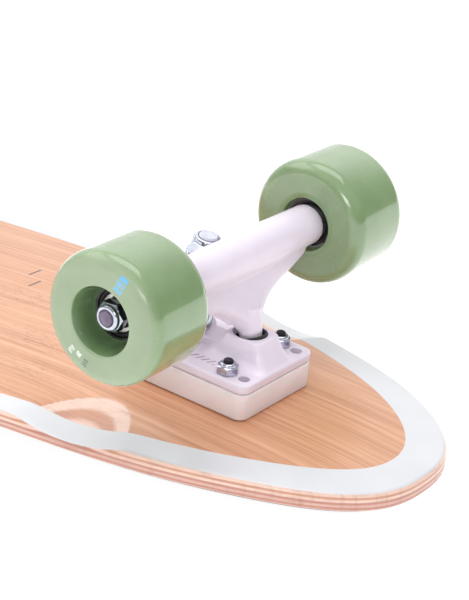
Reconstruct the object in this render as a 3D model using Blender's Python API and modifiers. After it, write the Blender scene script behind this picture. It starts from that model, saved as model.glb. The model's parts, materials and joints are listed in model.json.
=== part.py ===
"""Mini cruiser skateboard lying upside down, trucks up, on its standing surface.

World frame: +X along the deck, +Y across it, +Z up, floor at z = 0, origin under the middle.
Each truck is laid out in its own frame: its origin is the foot of the axle on the deck's
underside, x points to that truck's end of the deck and z away from the wood. The deck's ends
are turned towards the rider, so here they reach down to the floor, and both truck frames lean
outward by END_ANGLE.
Lengths in the constants are millimetres; MM turns them into metres.
"""
import math

import bmesh
import bpy
from mathutils import Vector

MM = 0.001

# Deck: a superellipse outline, pressed from one sheet
DECK_LENGTH = 714.0
DECK_WIDTH = 198.0
DECK_THICKNESS = 9.0
DECK_EDGE_BEVEL = 2.2
OUTLINE_POWER_X = 2.68
OUTLINE_POWER_Y = 2.5
END_ANGLE = math.radians(5.0)
BEND_START = 165.0
BEND_END = 200.0
KICK_START = 289.0
KICK_RADIUS = 550.0
CONCAVE_DEPTH = 5.7
CONCAVE_FLAT = 12.0
DECK_COLUMNS = 32
DECK_ROWS = 7
OUTLINE_SWEEP = math.radians(88.5)
RIM_ANGLE = math.radians(50.0)

# Grip tape on the standing surface
GRIP_THICKNESS = 0.8
GRIP_INSET = 3.0
CONTACT_GAP = 0.3
GRIP_END_X = (DECK_LENGTH / 2 - GRIP_INSET) * math.sin(OUTLINE_SWEEP) ** (2 / OUTLINE_POWER_X)
SHEET_DEPTH = DECK_THICKNESS + CONTACT_GAP + GRIP_THICKNESS

# Wheel wells: a round tool run outward and down across each edge
WELL_RADIUS = 90.5
WELL_EDGE_DEPTH = 4.6
WELL_REACH = 39.5
WELL_EDGE_Y = 88.0
WELL_X = -21.0
WELL_BAR_LENGTH = 150.0
WELL_SEGMENTS = 48

# Truck placing and mounting bolts
END_SIGN = {"nose": 1, "tail": -1}
TRUCK_X = 243.8
BASE_LENGTH = 75.0
BASE_WIDTH = 55.8
BASE_CENTRE_X = -5.5
BASE_CORNER = 5.0
FLANGE_RIM = 1.0
RISER_TOP = 13.1
FLANGE_BOTTOM = 13.4
FLANGE_TOP = 18.0
BOLT_Y = 20.65
BOLT_ROWS = (16.8, -37.2)
SPARE_HOLE_ROW = 26.3
BOLT_RADIUS = 2.4
BOLT_HOLE_RADIUS = 2.75
BOLT_END_Z = 24.6
BOLT_HEAD_RADIUS = 4.6
BOLT_NUT_WIDTH = 9.5
BOLT_NUT_HEIGHT = 5.0
BOLT_CHAMFER = 0.5
BOLT_SEGMENTS = 12
BOLT_HEAD_INSET = 0.2
BOLT_HEAD_EDGE = 0.1
SINK_OVERRUN = 4.0

# Bottom and top of the tools that cut the bolt holes
DECK_CUT = (-15.0, 5.0)
GRIP_CUT = (-15.0, -5.0)
RISER_CUT = (-5.0, 20.0)
PLATE_CUT = (8.0, 28.0)

# Baseplate: solids that grow out of the flange, rooted a little way inside it
ROOT_HEIGHT = FLANGE_BOTTOM + 2.0
BOSS_FOOT_RADIUS = 15.0
BOSS_TOP_RADIUS = 13.5
BOSS_TOP = 30.0
BOSS_SEGMENTS = 24
HUMP_TOP = 29.8
HUMP_POWER = 5.0
HUMP_POINTS = 24
# Height, middle x, half length and half width of each section of the hump
HUMP_SECTIONS = ((ROOT_HEIGHT, 13.8, 17.6, 14.5), (18.4, 13.9, 16.9, 12.6),
                 (21.0, 14.2, 14.8, 10.8), (25.0, 14.3, 12.2, 9.6), (28.6, 14.2, 10.4, 9.2),
                 (HUMP_TOP, 14.1, 9.7, 8.8))
RIB_START_X = -22.0
RIB_END_X = 8.0
RIB_HALF_WIDTH = 7.0
RIB_TOP = 22.8

# Kingpin line; k is the height along it from the centre of the hanger's ring
RING_CENTRE = Vector((-19.8, 0.0, 43.8))
KINGPIN_LEAN = math.radians(10.0)
KINGPIN_RADIUS = 4.76
KINGPIN_TOP_K = 26.0
KINGPIN_HEAD_RADIUS = 7.8
KINGPIN_HEAD_TOP_K = -23.2
KINGPIN_HEAD_BOTTOM_K = -28.4
KINGPIN_CHAMFER = 0.8
KINGPIN_HOLE_RADIUS = 5.2
HEAD_RECESS_GAP = 0.6
KINGPIN_CUT_BOTTOM_K = -40.0
KINGPIN_CUT_TOP_K = 5.0
SEAT_K = -18.9
SEAT_CUT_LOW = (-30.0, -25.0, SEAT_K)
SEAT_CUT_HIGH = (16.5, 25.0, 5.0)
BOARD_WASHER_TOP_K = -17.0
BOARD_WASHER_RADIUS = 12.3
ROAD_WASHER_TOP_K = 16.0
ROAD_WASHER_RADIUS = 8.8
WASHER_THICKNESS = 1.6
RING_RADIUS = 12.0
RING_HOLE_RADIUS = 6.9
BUSHING_CUP_RADIUS = 12.6
BUSHING_BORE_RADIUS = 5.1
ROAD_BUSHING_RADIUS = 8.7
ROAD_BUSHING_LIP = 9.6
BOARD_BUSHING_RADIUS = 10.5
BOARD_BUSHING_LIP = 9.9
KINGPIN_NUT_WIDTH = 14.3
KINGPIN_NUT_HEIGHT = 8.7
KINGPIN_NUT_CHAMFER = 1.0
NUT_CHAMFER = 0.7

# Pivot: a rounded stem in a plastic cup
PIVOT_CENTRE = Vector((16.1, 0.0, 21.0))
PIVOT_LEAN = math.radians(-17.0)
PIVOT_BALL_RADIUS = 5.2
PIVOT_BALL_TOP_ANGLE = 30
PIVOT_NECK_RADIUS = 5.7
PIVOT_CUP_HEIGHT = 8.6
CUP_MOUTH_RADIUS = 7.1
CUP_RIM_RADIUS = 7.7
CUP_WAIST_RADIUS = 7.0
CUP_WAIST = -3.0
CUP_FOOT_RADIUS = 5.2
CUP_FOOT = -6.6
BORE_MOUTH_RADIUS = 8.3
BORE_MOUTH = 16.0
STEM_TOP = 21.0
STEM_TOP_RADIUS = 6.6
STEM_NECK = 10.6

# Hanger and axle
AXLE_HEIGHT = 63.0
AXLE_RADIUS = 4.0
AXLE_HALF_LENGTH = 93.4
HANGER_HALF_LENGTH = 58.7
ARM_END_RADIUS = 9.7
ARM_MIDDLE_RADIUS = 10.5
ARM_MIDDLE_HALF = 12.0
END_CHAMFER = 0.7
AXLE_BORE_HALF = 80.0
RING_BORE_HALF = 20.0
BRIDGE_LOW = (5.0, -10.0, -4.5)
BRIDGE_HIGH = (29.0, 10.0, 5.0)
NUT_POCKET_LOW = (-40.0, -13.2, 6.5)
NUT_POCKET_HIGH = (9.4, 13.2, 60.0)
WEB_SLOPE = math.atan(0.4)
WEB_POWER = 2.4
# Height, half width and half thickness of the web, from inside the arms down to the pivot stem
WEB_LEVELS = ((60.0, 54.0, 4.4), (55.0, 56.5, 3.8), (51.5, 51.0, 3.8), (48.3, 40.0, 3.8),
              (45.8, 28.5, 4.0), (43.4, 20.5, 4.4), (41.0, 15.5, 5.0), (38.0, 10.6, 5.6),
              (34.8, 7.6, 5.8), (32.6, 6.2, 5.6))

# Wheel; its own z runs outward along the axle from the middle of its width
WHEEL_Y = 76.95
WHEEL_RADIUS = 30.9
WHEEL_WIDTH = 40.8
WHEEL_LIP = 7.0
WHEEL_RECESS_RADIUS = 15.85
WHEEL_HUB_RADIUS = 13.5
WHEEL_SEGMENTS = 30
INNER_MOUTH_RADIUS = 12.4
OUTER_MOUTH_RADIUS = 12.2

# Bearings sit nearer the inner face of the wheel
BEARING_MIDDLE = -4.7
BEARING_OFFSET = 8.5
BEARING_WIDTH = 7.0
BEARING_RADIUS = 11.0
SEAT_RADIUS = 11.25
SHOULDER_RADIUS = 9.6
OUTER_RACE_BORE_RADIUS = 9.4
SHIELD_BORE_RADIUS = 6.5
SHIELD_THICKNESS = 0.6
SLEEVE_HALF_LENGTH = 13.1
SLEEVE_GAP = 0.35
INNER_RACE_RADIUS = 6.1
SPEED_WASHER_RADIUS = 5.6
SPACER_RADIUS = 5.4
SLEEVE_SEGMENTS = 12
AXLE_NUT_WIDTH = 12.7
AXLE_NUT_HEIGHT = 7.0

QUARTER = math.pi / 2
HEX_HALF_ANGLE = math.pi / 6
ROUND_SEGMENTS = 16
FINE_SEGMENTS = 20
SMALL_SEGMENTS = 12
SECTION_POINTS = 20
CORNER_STEPS = 4
LIP_STEPS = 3
CUP_FACE_STEPS = 3
PIVOT_STEPS = 4
RING_BALL_STEPS = 8
HOLE_OVERRUN = 1.0
SHARP_ANGLE = math.radians(35.0)
LEVEL_TOLERANCE = 0.001


# ---------------------------------------------------------------- scene helpers

def clear_scene():
    for item in list(bpy.data.objects):
        bpy.data.objects.remove(item, do_unlink=True)


def new_collection(name):
    collection = bpy.data.collections.new(name)
    bpy.context.scene.collection.children.link(collection)
    return collection


def new_material(name, colour, roughness, metallic=0.0):
    material = bpy.data.materials.new(name)
    material.use_nodes = True
    shader = material.node_tree.nodes["Principled BSDF"]
    shader.inputs["Base Color"].default_value = (*colour, 1.0)
    shader.inputs["Roughness"].default_value = roughness
    shader.inputs["Metallic"].default_value = metallic
    material.diffuse_color = (*colour, 1.0)
    return material


def new_empty(name, parent=None, location=(0, 0, 0), rotation=(0, 0, 0)):
    empty = bpy.data.objects.new(name, None)
    empty.empty_display_size = 0.02
    PARTS.objects.link(empty)
    place(empty, parent, location, rotation)
    return empty


def place(item, parent=None, location=(0, 0, 0), rotation=(0, 0, 0)):
    """Put an object in its parent's frame; the location is in millimetres."""
    item.parent = parent
    item.location = Vector(location) * MM
    item.rotation_euler = rotation
    return item


def finish_mesh(name, mesh_data, material=None):
    """Make an object of a bmesh drawn in millimetres; one without a material is a cutter."""
    bmesh.ops.scale(mesh_data, vec=(MM, MM, MM), verts=mesh_data.verts)
    mesh = bpy.data.meshes.new(name)
    mesh_data.to_mesh(mesh)
    mesh_data.free()
    item = bpy.data.objects.new(name, mesh)
    if material is None:
        CUTTERS.objects.link(item)
        item.hide_render = True
        item.display_type = "WIRE"
    else:
        PARTS.objects.link(item)
        mesh.materials.append(material)
    return item


def shade_round(item):
    item.data.shade_smooth()
    item.data.set_sharp_from_angle(angle=SHARP_ANGLE)


def combine(item, other, operation):
    """Cut the other solid from the item, or join it on."""
    modifier = item.modifiers.new(other.name, "BOOLEAN")
    modifier.operation = operation
    modifier.solver = "EXACT"
    modifier.object = other


# ---------------------------------------------------------------- shape helpers

def arc(radius, start, end, steps, centre=(0.0, 0.0)):
    """Points (r, z) on an arc; the angles are measured from the r axis, in degrees."""
    points = []
    for step in range(steps + 1):
        angle = math.radians(start + (end - start) * step / steps)
        points.append((centre[0] + radius * math.cos(angle), centre[1] + radius * math.sin(angle)))
    return points


def turned(name, profile, material=None, segments=ROUND_SEGMENTS, closed=False):
    """Spin a profile of (radius, height) points about z; its outer side runs downward."""
    mesh_data = bmesh.new()
    verts = [mesh_data.verts.new((radius, 0.0, height)) for radius, height in profile]
    for first, second in zip(verts, verts[1:]):
        mesh_data.edges.new((first, second))
    if closed:
        mesh_data.edges.new((verts[-1], verts[0]))
    item = finish_mesh(name, mesh_data, material)
    screw = item.modifiers.new("turn", "SCREW")
    screw.axis = "Z"
    screw.angle = 2 * math.pi
    screw.steps = segments
    screw.render_steps = segments
    screw.use_merge_vertices = True
    screw.merge_threshold = 0.00001
    screw.use_smooth_shade = True
    return item


def ring(name, inner, outer, bottom, top, material):
    """A plain washer or tube."""
    profile = [(inner, top), (outer, top), (outer, bottom), (inner, bottom)]
    return turned(name, profile, material, closed=True)


def add_cylinder(mesh_data, radius, centre, bottom, top, segments=SMALL_SEGMENTS,
                 top_radius=None):
    """Add one upright cylinder, or a cone where the top radius differs."""
    made = bmesh.ops.create_cone(
        mesh_data, cap_ends=True, segments=segments, depth=top - bottom,
        radius1=radius, radius2=radius if top_radius is None else top_radius)
    middle = Vector((centre[0], centre[1], (top + bottom) / 2))
    bmesh.ops.translate(mesh_data, vec=middle, verts=made["verts"])


def cylinder_cutter(name, radius, bottom, top, segments=ROUND_SEGMENTS):
    mesh_data = bmesh.new()
    add_cylinder(mesh_data, radius, (0, 0), bottom, top, segments)
    return finish_mesh(name, mesh_data)


def box(name, low, high, material=None, corner=0.0, rim=0.0):
    """A box between two corners, with rounded upright edges and a softened top rim."""
    low = Vector(low)
    high = Vector(high)
    mesh_data = bmesh.new()
    bmesh.ops.create_cube(mesh_data, size=1.0)
    bmesh.ops.scale(mesh_data, vec=high - low, verts=mesh_data.verts)
    bmesh.ops.translate(mesh_data, vec=(high + low) / 2, verts=mesh_data.verts)
    if corner:
        upright = [edge for edge in mesh_data.edges
                   if abs(edge.verts[0].co.z - edge.verts[1].co.z) > 0.5 * (high.z - low.z)]
        bmesh.ops.bevel(mesh_data, geom=upright, offset=corner, segments=CORNER_STEPS,
                        profile=0.5, affect="EDGES")
    if rim:
        top = [edge for edge in mesh_data.edges
               if all(abs(vert.co.z - high.z) < LEVEL_TOLERANCE for vert in edge.verts)]
        bmesh.ops.bevel(mesh_data, geom=top, offset=rim, segments=1, affect="EDGES")
    return finish_mesh(name, mesh_data, material)


def loft(name, sections):
    """Skin a row of closed sections that have equal point counts, and cap both ends."""
    mesh_data = bmesh.new()
    rows = [[mesh_data.verts.new(point) for point in section] for section in sections]
    count = len(rows[0])
    for lower, upper in zip(rows, rows[1:]):
        for index in range(count):
            after = (index + 1) % count
            mesh_data.faces.new((lower[index], lower[after], upper[after], upper[index]))
    mesh_data.faces.new(reversed(rows[0]))
    mesh_data.faces.new(rows[-1])
    bmesh.ops.recalc_face_normals(mesh_data, faces=mesh_data.faces)
    return finish_mesh(name, mesh_data)


def superellipse(half_a, half_b, power, count=SECTION_POINTS):
    """Points (a, b) on |a / half_a|^power + |b / half_b|^power = 1."""
    points = []
    for step in range(count):
        angle = 2 * math.pi * step / count
        across = math.copysign(abs(math.cos(angle)) ** (2 / power), math.cos(angle))
        along = math.copysign(abs(math.sin(angle)) ** (2 / power), math.sin(angle))
        points.append((half_a * across, half_b * along))
    return points


def hex_nut(name, width, hole_radius, bottom, height, chamfer=NUT_CHAMFER):
    """A chromed hexagon nut on the z axis; returns it and the cutter of its hole."""
    mesh_data = bmesh.new()
    corner = width / 2 / math.cos(HEX_HALF_ANGLE)
    add_cylinder(mesh_data, corner, (0, 0), bottom, bottom + height, segments=6)
    top = [edge for edge in mesh_data.edges
           if all(abs(vert.co.z - bottom - height) < LEVEL_TOLERANCE for vert in edge.verts)]
    bmesh.ops.bevel(mesh_data, geom=top, offset=chamfer, segments=1, affect="EDGES")
    nut = finish_mesh(name, mesh_data, CHROME)
    hole = cylinder_cutter(name + "_hole", hole_radius, bottom - HOLE_OVERRUN,
                           bottom + height + HOLE_OVERRUN, SMALL_SEGMENTS)
    combine(nut, hole, "DIFFERENCE")
    return nut, hole


# ---------------------------------------------------------------- deck and grip tape

def underside_drop(x):
    """How far the middle line of the underside lies below its height at x = 0."""
    run = abs(x)
    slope = math.tan(END_ANGLE)
    if run <= BEND_START:
        return 0.0
    if run <= BEND_END:
        return slope * (run - BEND_START) ** 2 / (2 * (BEND_END - BEND_START))
    drop = slope * (run - (BEND_START + BEND_END) / 2)
    if run > KICK_START:
        drop += (run - KICK_START) ** 2 / (2 * KICK_RADIUS)
    return drop


def concave_drop(y):
    reach = max(0.0, abs(y) - CONCAVE_FLAT) / (DECK_WIDTH / 2 - CONCAVE_FLAT)
    return CONCAVE_DEPTH * reach ** 2


def underside_height(x, y):
    """The underside's height over the level of its middle."""
    return -underside_drop(x) - concave_drop(y)


def pressed_sheet(name, inset, top, thickness, material):
    """A grid laid in the deck's outline and pressed to its shape, extruded straight down."""
    mesh_data = bmesh.new()
    bmesh.ops.create_grid(mesh_data, x_segments=DECK_COLUMNS, y_segments=DECK_ROWS, size=1.0)
    for vert in mesh_data.verts:
        angle = vert.co.x * OUTLINE_SWEEP
        run = math.copysign(abs(math.sin(angle)) ** (2 / OUTLINE_POWER_X), angle)
        breadth = math.cos(angle) ** (2 / OUTLINE_POWER_Y)
        x = (DECK_LENGTH / 2 - inset) * run
        y = (DECK_WIDTH / 2 - inset) * breadth * vert.co.y
        vert.co = (x, y, top + underside_height(x, y))
    grown = bmesh.ops.extrude_face_region(mesh_data, geom=mesh_data.faces[:], use_keep_orig=True)
    lower = [part for part in grown["geom"] if isinstance(part, bmesh.types.BMVert)]
    bmesh.ops.translate(mesh_data, vec=(0.0, 0.0, -thickness), verts=lower)
    bmesh.ops.recalc_face_normals(mesh_data, faces=mesh_data.faces)
    return finish_mesh(name, mesh_data, material)


def build_deck(frames):
    deck = pressed_sheet("deck", 0.0, DECK_TOP, DECK_THICKNESS, WOOD)
    rim = deck.modifiers.new("rim", "BEVEL")
    rim.width = DECK_EDGE_BEVEL * MM
    rim.segments = 1
    rim.limit_method = "ANGLE"
    rim.angle_limit = RIM_ANGLE
    grip = pressed_sheet("grip_tape", GRIP_INSET, DECK_TOP - DECK_THICKNESS - CONTACT_GAP,
                         GRIP_THICKNESS, GRIT)
    for end, frame in frames.items():
        combine(deck, wheel_wells(end, frame), "DIFFERENCE")
        combine(deck, bolt_holes(end + "_deck_holes", frame, DECK_CUT), "DIFFERENCE")
        combine(deck, countersinks(end, frame), "DIFFERENCE")
        grip_holes = bolt_holes(end + "_grip_holes", frame, GRIP_CUT,
                                radius=BOLT_HEAD_RADIUS + CONTACT_GAP)
        combine(grip, grip_holes, "DIFFERENCE")


def wheel_wells(end, frame):
    """Two tilted round bars: their lowest lines graze the wood inside and bite at the edge."""
    inner_y = WELL_EDGE_Y - WELL_REACH
    fall = WELL_EDGE_DEPTH + concave_drop(WELL_EDGE_Y) - concave_drop(inner_y)
    tilt = math.atan2(fall, WELL_REACH)
    mesh_data = bmesh.new()
    for side in (-1, 1):
        made = bmesh.ops.create_cone(mesh_data, cap_ends=True, segments=WELL_SEGMENTS,
                                     depth=WELL_BAR_LENGTH, radius1=WELL_RADIUS,
                                     radius2=WELL_RADIUS)
        outward = Vector((0.0, side * math.cos(tilt), -math.sin(tilt)))
        upward = Vector((0.0, side * math.sin(tilt), math.cos(tilt)))
        bite_z = -concave_drop(WELL_EDGE_Y) - WELL_EDGE_DEPTH
        bite = Vector((WELL_X, side * WELL_EDGE_Y, bite_z))
        turn = Vector((0.0, 0.0, 1.0)).rotation_difference(outward)
        bmesh.ops.rotate(mesh_data, matrix=turn.to_matrix(), verts=made["verts"])
        bmesh.ops.translate(mesh_data, vec=bite + upward * WELL_RADIUS, verts=made["verts"])
    return place(finish_mesh(end + "_wheel_wells", mesh_data), frame)


def bolt_places(rows=BOLT_ROWS):
    return [(row, side * BOLT_Y) for row in rows for side in (-1, 1)]


def bolt_holes(name, frame, span, radius=BOLT_HOLE_RADIUS, rows=BOLT_ROWS):
    """Upright cutters at the bolt places; the span is their bottom and top."""
    mesh_data = bmesh.new()
    for spot in bolt_places(rows):
        add_cylinder(mesh_data, radius, spot, *span)
    return place(finish_mesh(name, mesh_data), frame)


def countersinks(end, frame):
    """Cones that open each bolt hole out to the head's width at the standing surface."""
    sink_depth = BOLT_HEAD_RADIUS - BOLT_RADIUS
    mesh_data = bmesh.new()
    for spot in bolt_places():
        add_cylinder(mesh_data, BOLT_HEAD_RADIUS + CONTACT_GAP + SINK_OVERRUN, spot,
                     -DECK_THICKNESS - SINK_OVERRUN, sink_depth - DECK_THICKNESS,
                     top_radius=BOLT_RADIUS + CONTACT_GAP)
    return place(finish_mesh(end + "_countersinks", mesh_data), frame)


# ---------------------------------------------------------------- truck: fixed pieces

def base_box(name, bottom, top, material, rim=0.0):
    low = (BASE_CENTRE_X - BASE_LENGTH / 2, -BASE_WIDTH / 2, bottom)
    high = (BASE_CENTRE_X + BASE_LENGTH / 2, BASE_WIDTH / 2, top)
    return box(name, low, high, material, corner=BASE_CORNER, rim=rim)


def build_riser(end, frame):
    riser = place(base_box(end + "_riser_pad", CONTACT_GAP, RISER_TOP, PAD), frame)
    holes = bolt_holes(end + "_riser_holes", frame, RISER_CUT,
                       rows=(*BOLT_ROWS, SPARE_HOLE_ROW))
    combine(riser, holes, "DIFFERENCE")


def build_baseplate(end, frame):
    """A flange with a kingpin boss, a pivot hump and a rib between them."""
    plate = place(base_box(end + "_baseplate", FLANGE_BOTTOM, FLANGE_TOP, CAST,
                           rim=FLANGE_RIM), frame)

    boss_data = bmesh.new()
    boss_x = RING_CENTRE.x + SEAT_K * math.sin(KINGPIN_LEAN)
    add_cylinder(boss_data, BOSS_FOOT_RADIUS, (boss_x, 0.0), ROOT_HEIGHT, BOSS_TOP,
                 segments=BOSS_SEGMENTS, top_radius=BOSS_TOP_RADIUS)
    boss = place(finish_mesh(end + "_boss", boss_data), frame)
    seat_cut = on_kingpin(box(end + "_seat_cut", SEAT_CUT_LOW, SEAT_CUT_HIGH), frame)
    combine(boss, seat_cut, "DIFFERENCE")

    hump_sections = []
    for height, middle, half_x, half_y in HUMP_SECTIONS:
        outline = superellipse(half_x, half_y, HUMP_POWER, count=HUMP_POINTS)
        hump_sections.append([Vector((middle + x, y, height)) for x, y in outline])
    hump = place(loft(end + "_hump", hump_sections), frame)

    rib = place(box(end + "_rib", (RIB_START_X, -RIB_HALF_WIDTH, ROOT_HEIGHT),
                    (RIB_END_X, RIB_HALF_WIDTH, RIB_TOP)), frame)
    for solid in (boss, hump, rib):
        combine(plate, solid, "UNION")

    kingpin_hole = cylinder_cutter(end + "_kingpin_hole", KINGPIN_HOLE_RADIUS,
                                   KINGPIN_CUT_BOTTOM_K, KINGPIN_CUT_TOP_K)
    head_recess = cylinder_cutter(end + "_head_recess", KINGPIN_HEAD_RADIUS + HEAD_RECESS_GAP,
                                  KINGPIN_CUT_BOTTOM_K, KINGPIN_HEAD_TOP_K + CONTACT_GAP)
    for cutter in (kingpin_hole, head_recess):
        combine(plate, on_kingpin(cutter, frame), "DIFFERENCE")
    bore_floor = CUP_FOOT - CONTACT_GAP
    bore_profile = [(0.0, BORE_MOUTH), (BORE_MOUTH_RADIUS, BORE_MOUTH),
                    (CUP_RIM_RADIUS + CONTACT_GAP, PIVOT_CUP_HEIGHT),
                    (CUP_WAIST_RADIUS + CONTACT_GAP, CUP_WAIST),
                    (CUP_FOOT_RADIUS + CONTACT_GAP, bore_floor), (0.0, bore_floor)]
    combine(plate, on_pivot(turned(end + "_pivot_bore", bore_profile), frame), "DIFFERENCE")
    holes = bolt_holes(end + "_plate_holes", frame, PLATE_CUT,
                       rows=(*BOLT_ROWS, SPARE_HOLE_ROW))
    combine(plate, holes, "DIFFERENCE")


def build_pivot_cup(end, frame):
    """A tapered plastic cup with a round-bottomed socket."""
    socket = arc(PIVOT_BALL_RADIUS + CONTACT_GAP, 0, -90, PIVOT_STEPS)
    profile = [(CUP_MOUTH_RADIUS, PIVOT_CUP_HEIGHT), (CUP_RIM_RADIUS, PIVOT_CUP_HEIGHT),
               (CUP_WAIST_RADIUS, CUP_WAIST), (CUP_FOOT_RADIUS, CUP_FOOT), (0.0, CUP_FOOT),
               *reversed(socket)]
    on_pivot(turned(end + "_pivot_cup", profile, BLACK_PLASTIC, closed=True), frame)


def on_kingpin(item, frame):
    return place(item, frame, RING_CENTRE, (0, KINGPIN_LEAN, 0))


def on_pivot(item, frame):
    return place(item, frame, PIVOT_CENTRE, (0, PIVOT_LEAN, 0))


def build_kingpin(end, frame):
    """The kingpin, its nut, and the washers and bushings threaded on it."""
    bolt_profile = [(0.0, KINGPIN_TOP_K), (KINGPIN_RADIUS - KINGPIN_CHAMFER, KINGPIN_TOP_K),
                    (KINGPIN_RADIUS, KINGPIN_TOP_K - KINGPIN_CHAMFER),
                    (KINGPIN_RADIUS, KINGPIN_HEAD_TOP_K),
                    (KINGPIN_HEAD_RADIUS, KINGPIN_HEAD_TOP_K),
                    (KINGPIN_HEAD_RADIUS, KINGPIN_HEAD_BOTTOM_K), (0.0, KINGPIN_HEAD_BOTTOM_K)]
    on_kingpin(turned(end + "_kingpin", bolt_profile, STEEL), frame)
    for item in hex_nut(end + "_kingpin_nut", KINGPIN_NUT_WIDTH, KINGPIN_RADIUS + CONTACT_GAP,
                        ROAD_WASHER_TOP_K + CONTACT_GAP, KINGPIN_NUT_HEIGHT,
                        chamfer=KINGPIN_NUT_CHAMFER):
        on_kingpin(item, frame)

    road_washer = ring(end + "_road_washer", BUSHING_BORE_RADIUS, ROAD_WASHER_RADIUS,
                       ROAD_WASHER_TOP_K - WASHER_THICKNESS, ROAD_WASHER_TOP_K, CHROME)
    board_washer = ring(end + "_board_washer", BUSHING_BORE_RADIUS, BOARD_WASHER_RADIUS,
                        SEAT_K + CONTACT_GAP, BOARD_WASHER_TOP_K, CHROME)
    road_end = ROAD_WASHER_TOP_K - WASHER_THICKNESS - CONTACT_GAP
    road_bushing = turned(end + "_road_bushing",
                          [(BUSHING_BORE_RADIUS, road_end), (ROAD_BUSHING_RADIUS, road_end),
                           *cup_arc(ROAD_BUSHING_LIP, 1)],
                          RUBBER, FINE_SEGMENTS, closed=True)
    board_end = BOARD_WASHER_TOP_K + CONTACT_GAP
    board_bushing = turned(end + "_board_bushing",
                           [*reversed(cup_arc(BOARD_BUSHING_LIP, -1)),
                            (BOARD_BUSHING_RADIUS, board_end), (BUSHING_BORE_RADIUS, board_end)],
                           RUBBER, FINE_SEGMENTS, closed=True)
    for item in (road_washer, board_washer, road_bushing, board_bushing):
        on_kingpin(item, frame)


def cup_arc(outer_radius, side):
    """The bushing face that wraps the ring's ball, from its outer edge to its bore."""
    outer = math.degrees(math.acos(outer_radius / BUSHING_CUP_RADIUS))
    inner = math.degrees(math.acos(BUSHING_BORE_RADIUS / BUSHING_CUP_RADIUS))
    return arc(BUSHING_CUP_RADIUS, side * outer, side * inner, CUP_FACE_STEPS)


def build_mounting_bolts(end, frame):
    """Four countersunk bolts from the standing surface, each with a nut on the baseplate."""
    head_bottom = BOLT_HEAD_INSET - SHEET_DEPTH
    cone_bottom = -DECK_THICKNESS - BOLT_HEAD_EDGE
    cone_top = cone_bottom + BOLT_HEAD_RADIUS - BOLT_RADIUS
    profile = [(0.0, BOLT_END_Z), (BOLT_RADIUS - BOLT_CHAMFER, BOLT_END_Z),
               (BOLT_RADIUS, BOLT_END_Z - BOLT_CHAMFER), (BOLT_RADIUS, cone_top),
               (BOLT_HEAD_RADIUS, cone_bottom), (BOLT_HEAD_RADIUS, head_bottom),
               (0.0, head_bottom)]
    for number, (x, y) in enumerate(bolt_places(), 1):
        bolt = turned(f"{end}_mounting_bolt_{number}", profile, BLACK_STEEL, BOLT_SEGMENTS)
        place(bolt, frame, (x, y, 0.0))
        for item in hex_nut(f"{end}_mounting_nut_{number}", BOLT_NUT_WIDTH, BOLT_HOLE_RADIUS,
                            FLANGE_TOP + CONTACT_GAP, BOLT_NUT_HEIGHT):
            place(item, frame, (x, y, 0.0))


# ---------------------------------------------------------------- truck: hanger and axle

def build_hanger(end, frame, steering):
    """Two arms on a web that narrows to the pivot stem, with a ring for the kingpin."""
    half = HANGER_HALF_LENGTH
    rim_radius = ARM_END_RADIUS - END_CHAMFER
    arms_profile = [(0.0, half), (rim_radius, half), (ARM_END_RADIUS, half - END_CHAMFER),
                    (ARM_MIDDLE_RADIUS, ARM_MIDDLE_HALF), (ARM_MIDDLE_RADIUS, -ARM_MIDDLE_HALF),
                    (ARM_END_RADIUS, END_CHAMFER - half), (rim_radius, -half), (0.0, -half)]
    hanger = on_axle(turned(end + "_hanger", arms_profile, CAST, FINE_SEGMENTS), steering)

    web = place(hanger_web(end + "_web"), frame)
    ball = arc(PIVOT_BALL_RADIUS, PIVOT_BALL_TOP_ANGLE, -90, PIVOT_STEPS)
    stem_profile = [(0.0, STEM_TOP), (STEM_TOP_RADIUS, STEM_TOP),
                    (PIVOT_NECK_RADIUS, STEM_NECK), *ball]
    stem = on_pivot(turned(end + "_stem", stem_profile, segments=FINE_SEGMENTS), frame)
    bridge = on_kingpin(box(end + "_bridge", BRIDGE_LOW, BRIDGE_HIGH), frame)
    for solid in (web, stem, bridge):
        combine(hanger, solid, "UNION")

    nut_pocket = box(end + "_nut_pocket", NUT_POCKET_LOW, NUT_POCKET_HIGH)
    combine(hanger, on_kingpin(nut_pocket, frame), "DIFFERENCE")
    ring_ball = turned(end + "_ring_ball", arc(RING_RADIUS, 90, -90, RING_BALL_STEPS),
                       segments=FINE_SEGMENTS)
    combine(hanger, on_kingpin(ring_ball, frame), "UNION")
    ring_hole = cylinder_cutter(end + "_ring_hole", RING_HOLE_RADIUS,
                                -RING_BORE_HALF, RING_BORE_HALF)
    combine(hanger, on_kingpin(ring_hole, frame), "DIFFERENCE")
    axle_bore = cylinder_cutter(end + "_axle_bore", AXLE_RADIUS + CONTACT_GAP,
                                -AXLE_BORE_HALF, AXLE_BORE_HALF)
    place(axle_bore, frame, (0, 0, AXLE_HEIGHT), (-QUARTER, 0, 0))
    combine(hanger, axle_bore, "DIFFERENCE")


def hanger_web(name):
    """The web, skinned over its levels down the slope."""
    across = Vector((math.cos(WEB_SLOPE), 0.0, math.sin(WEB_SLOPE)))
    sections = []
    for height, half_width, half_depth in WEB_LEVELS:
        middle = Vector(((AXLE_HEIGHT - height) * math.tan(WEB_SLOPE), 0.0, height))
        outline = superellipse(half_width, half_depth, WEB_POWER)
        sections.append([middle + Vector((0.0, y, 0.0)) + across * depth
                         for y, depth in outline])
    return loft(name, sections)


def build_axle(end, steering):
    half = AXLE_HALF_LENGTH
    tip_radius = AXLE_RADIUS - END_CHAMFER
    profile = [(0.0, half), (tip_radius, half), (AXLE_RADIUS, half - END_CHAMFER),
               (AXLE_RADIUS, END_CHAMFER - half), (tip_radius, -half), (0.0, -half)]
    on_axle(turned(end + "_axle", profile, STEEL), steering)


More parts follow.
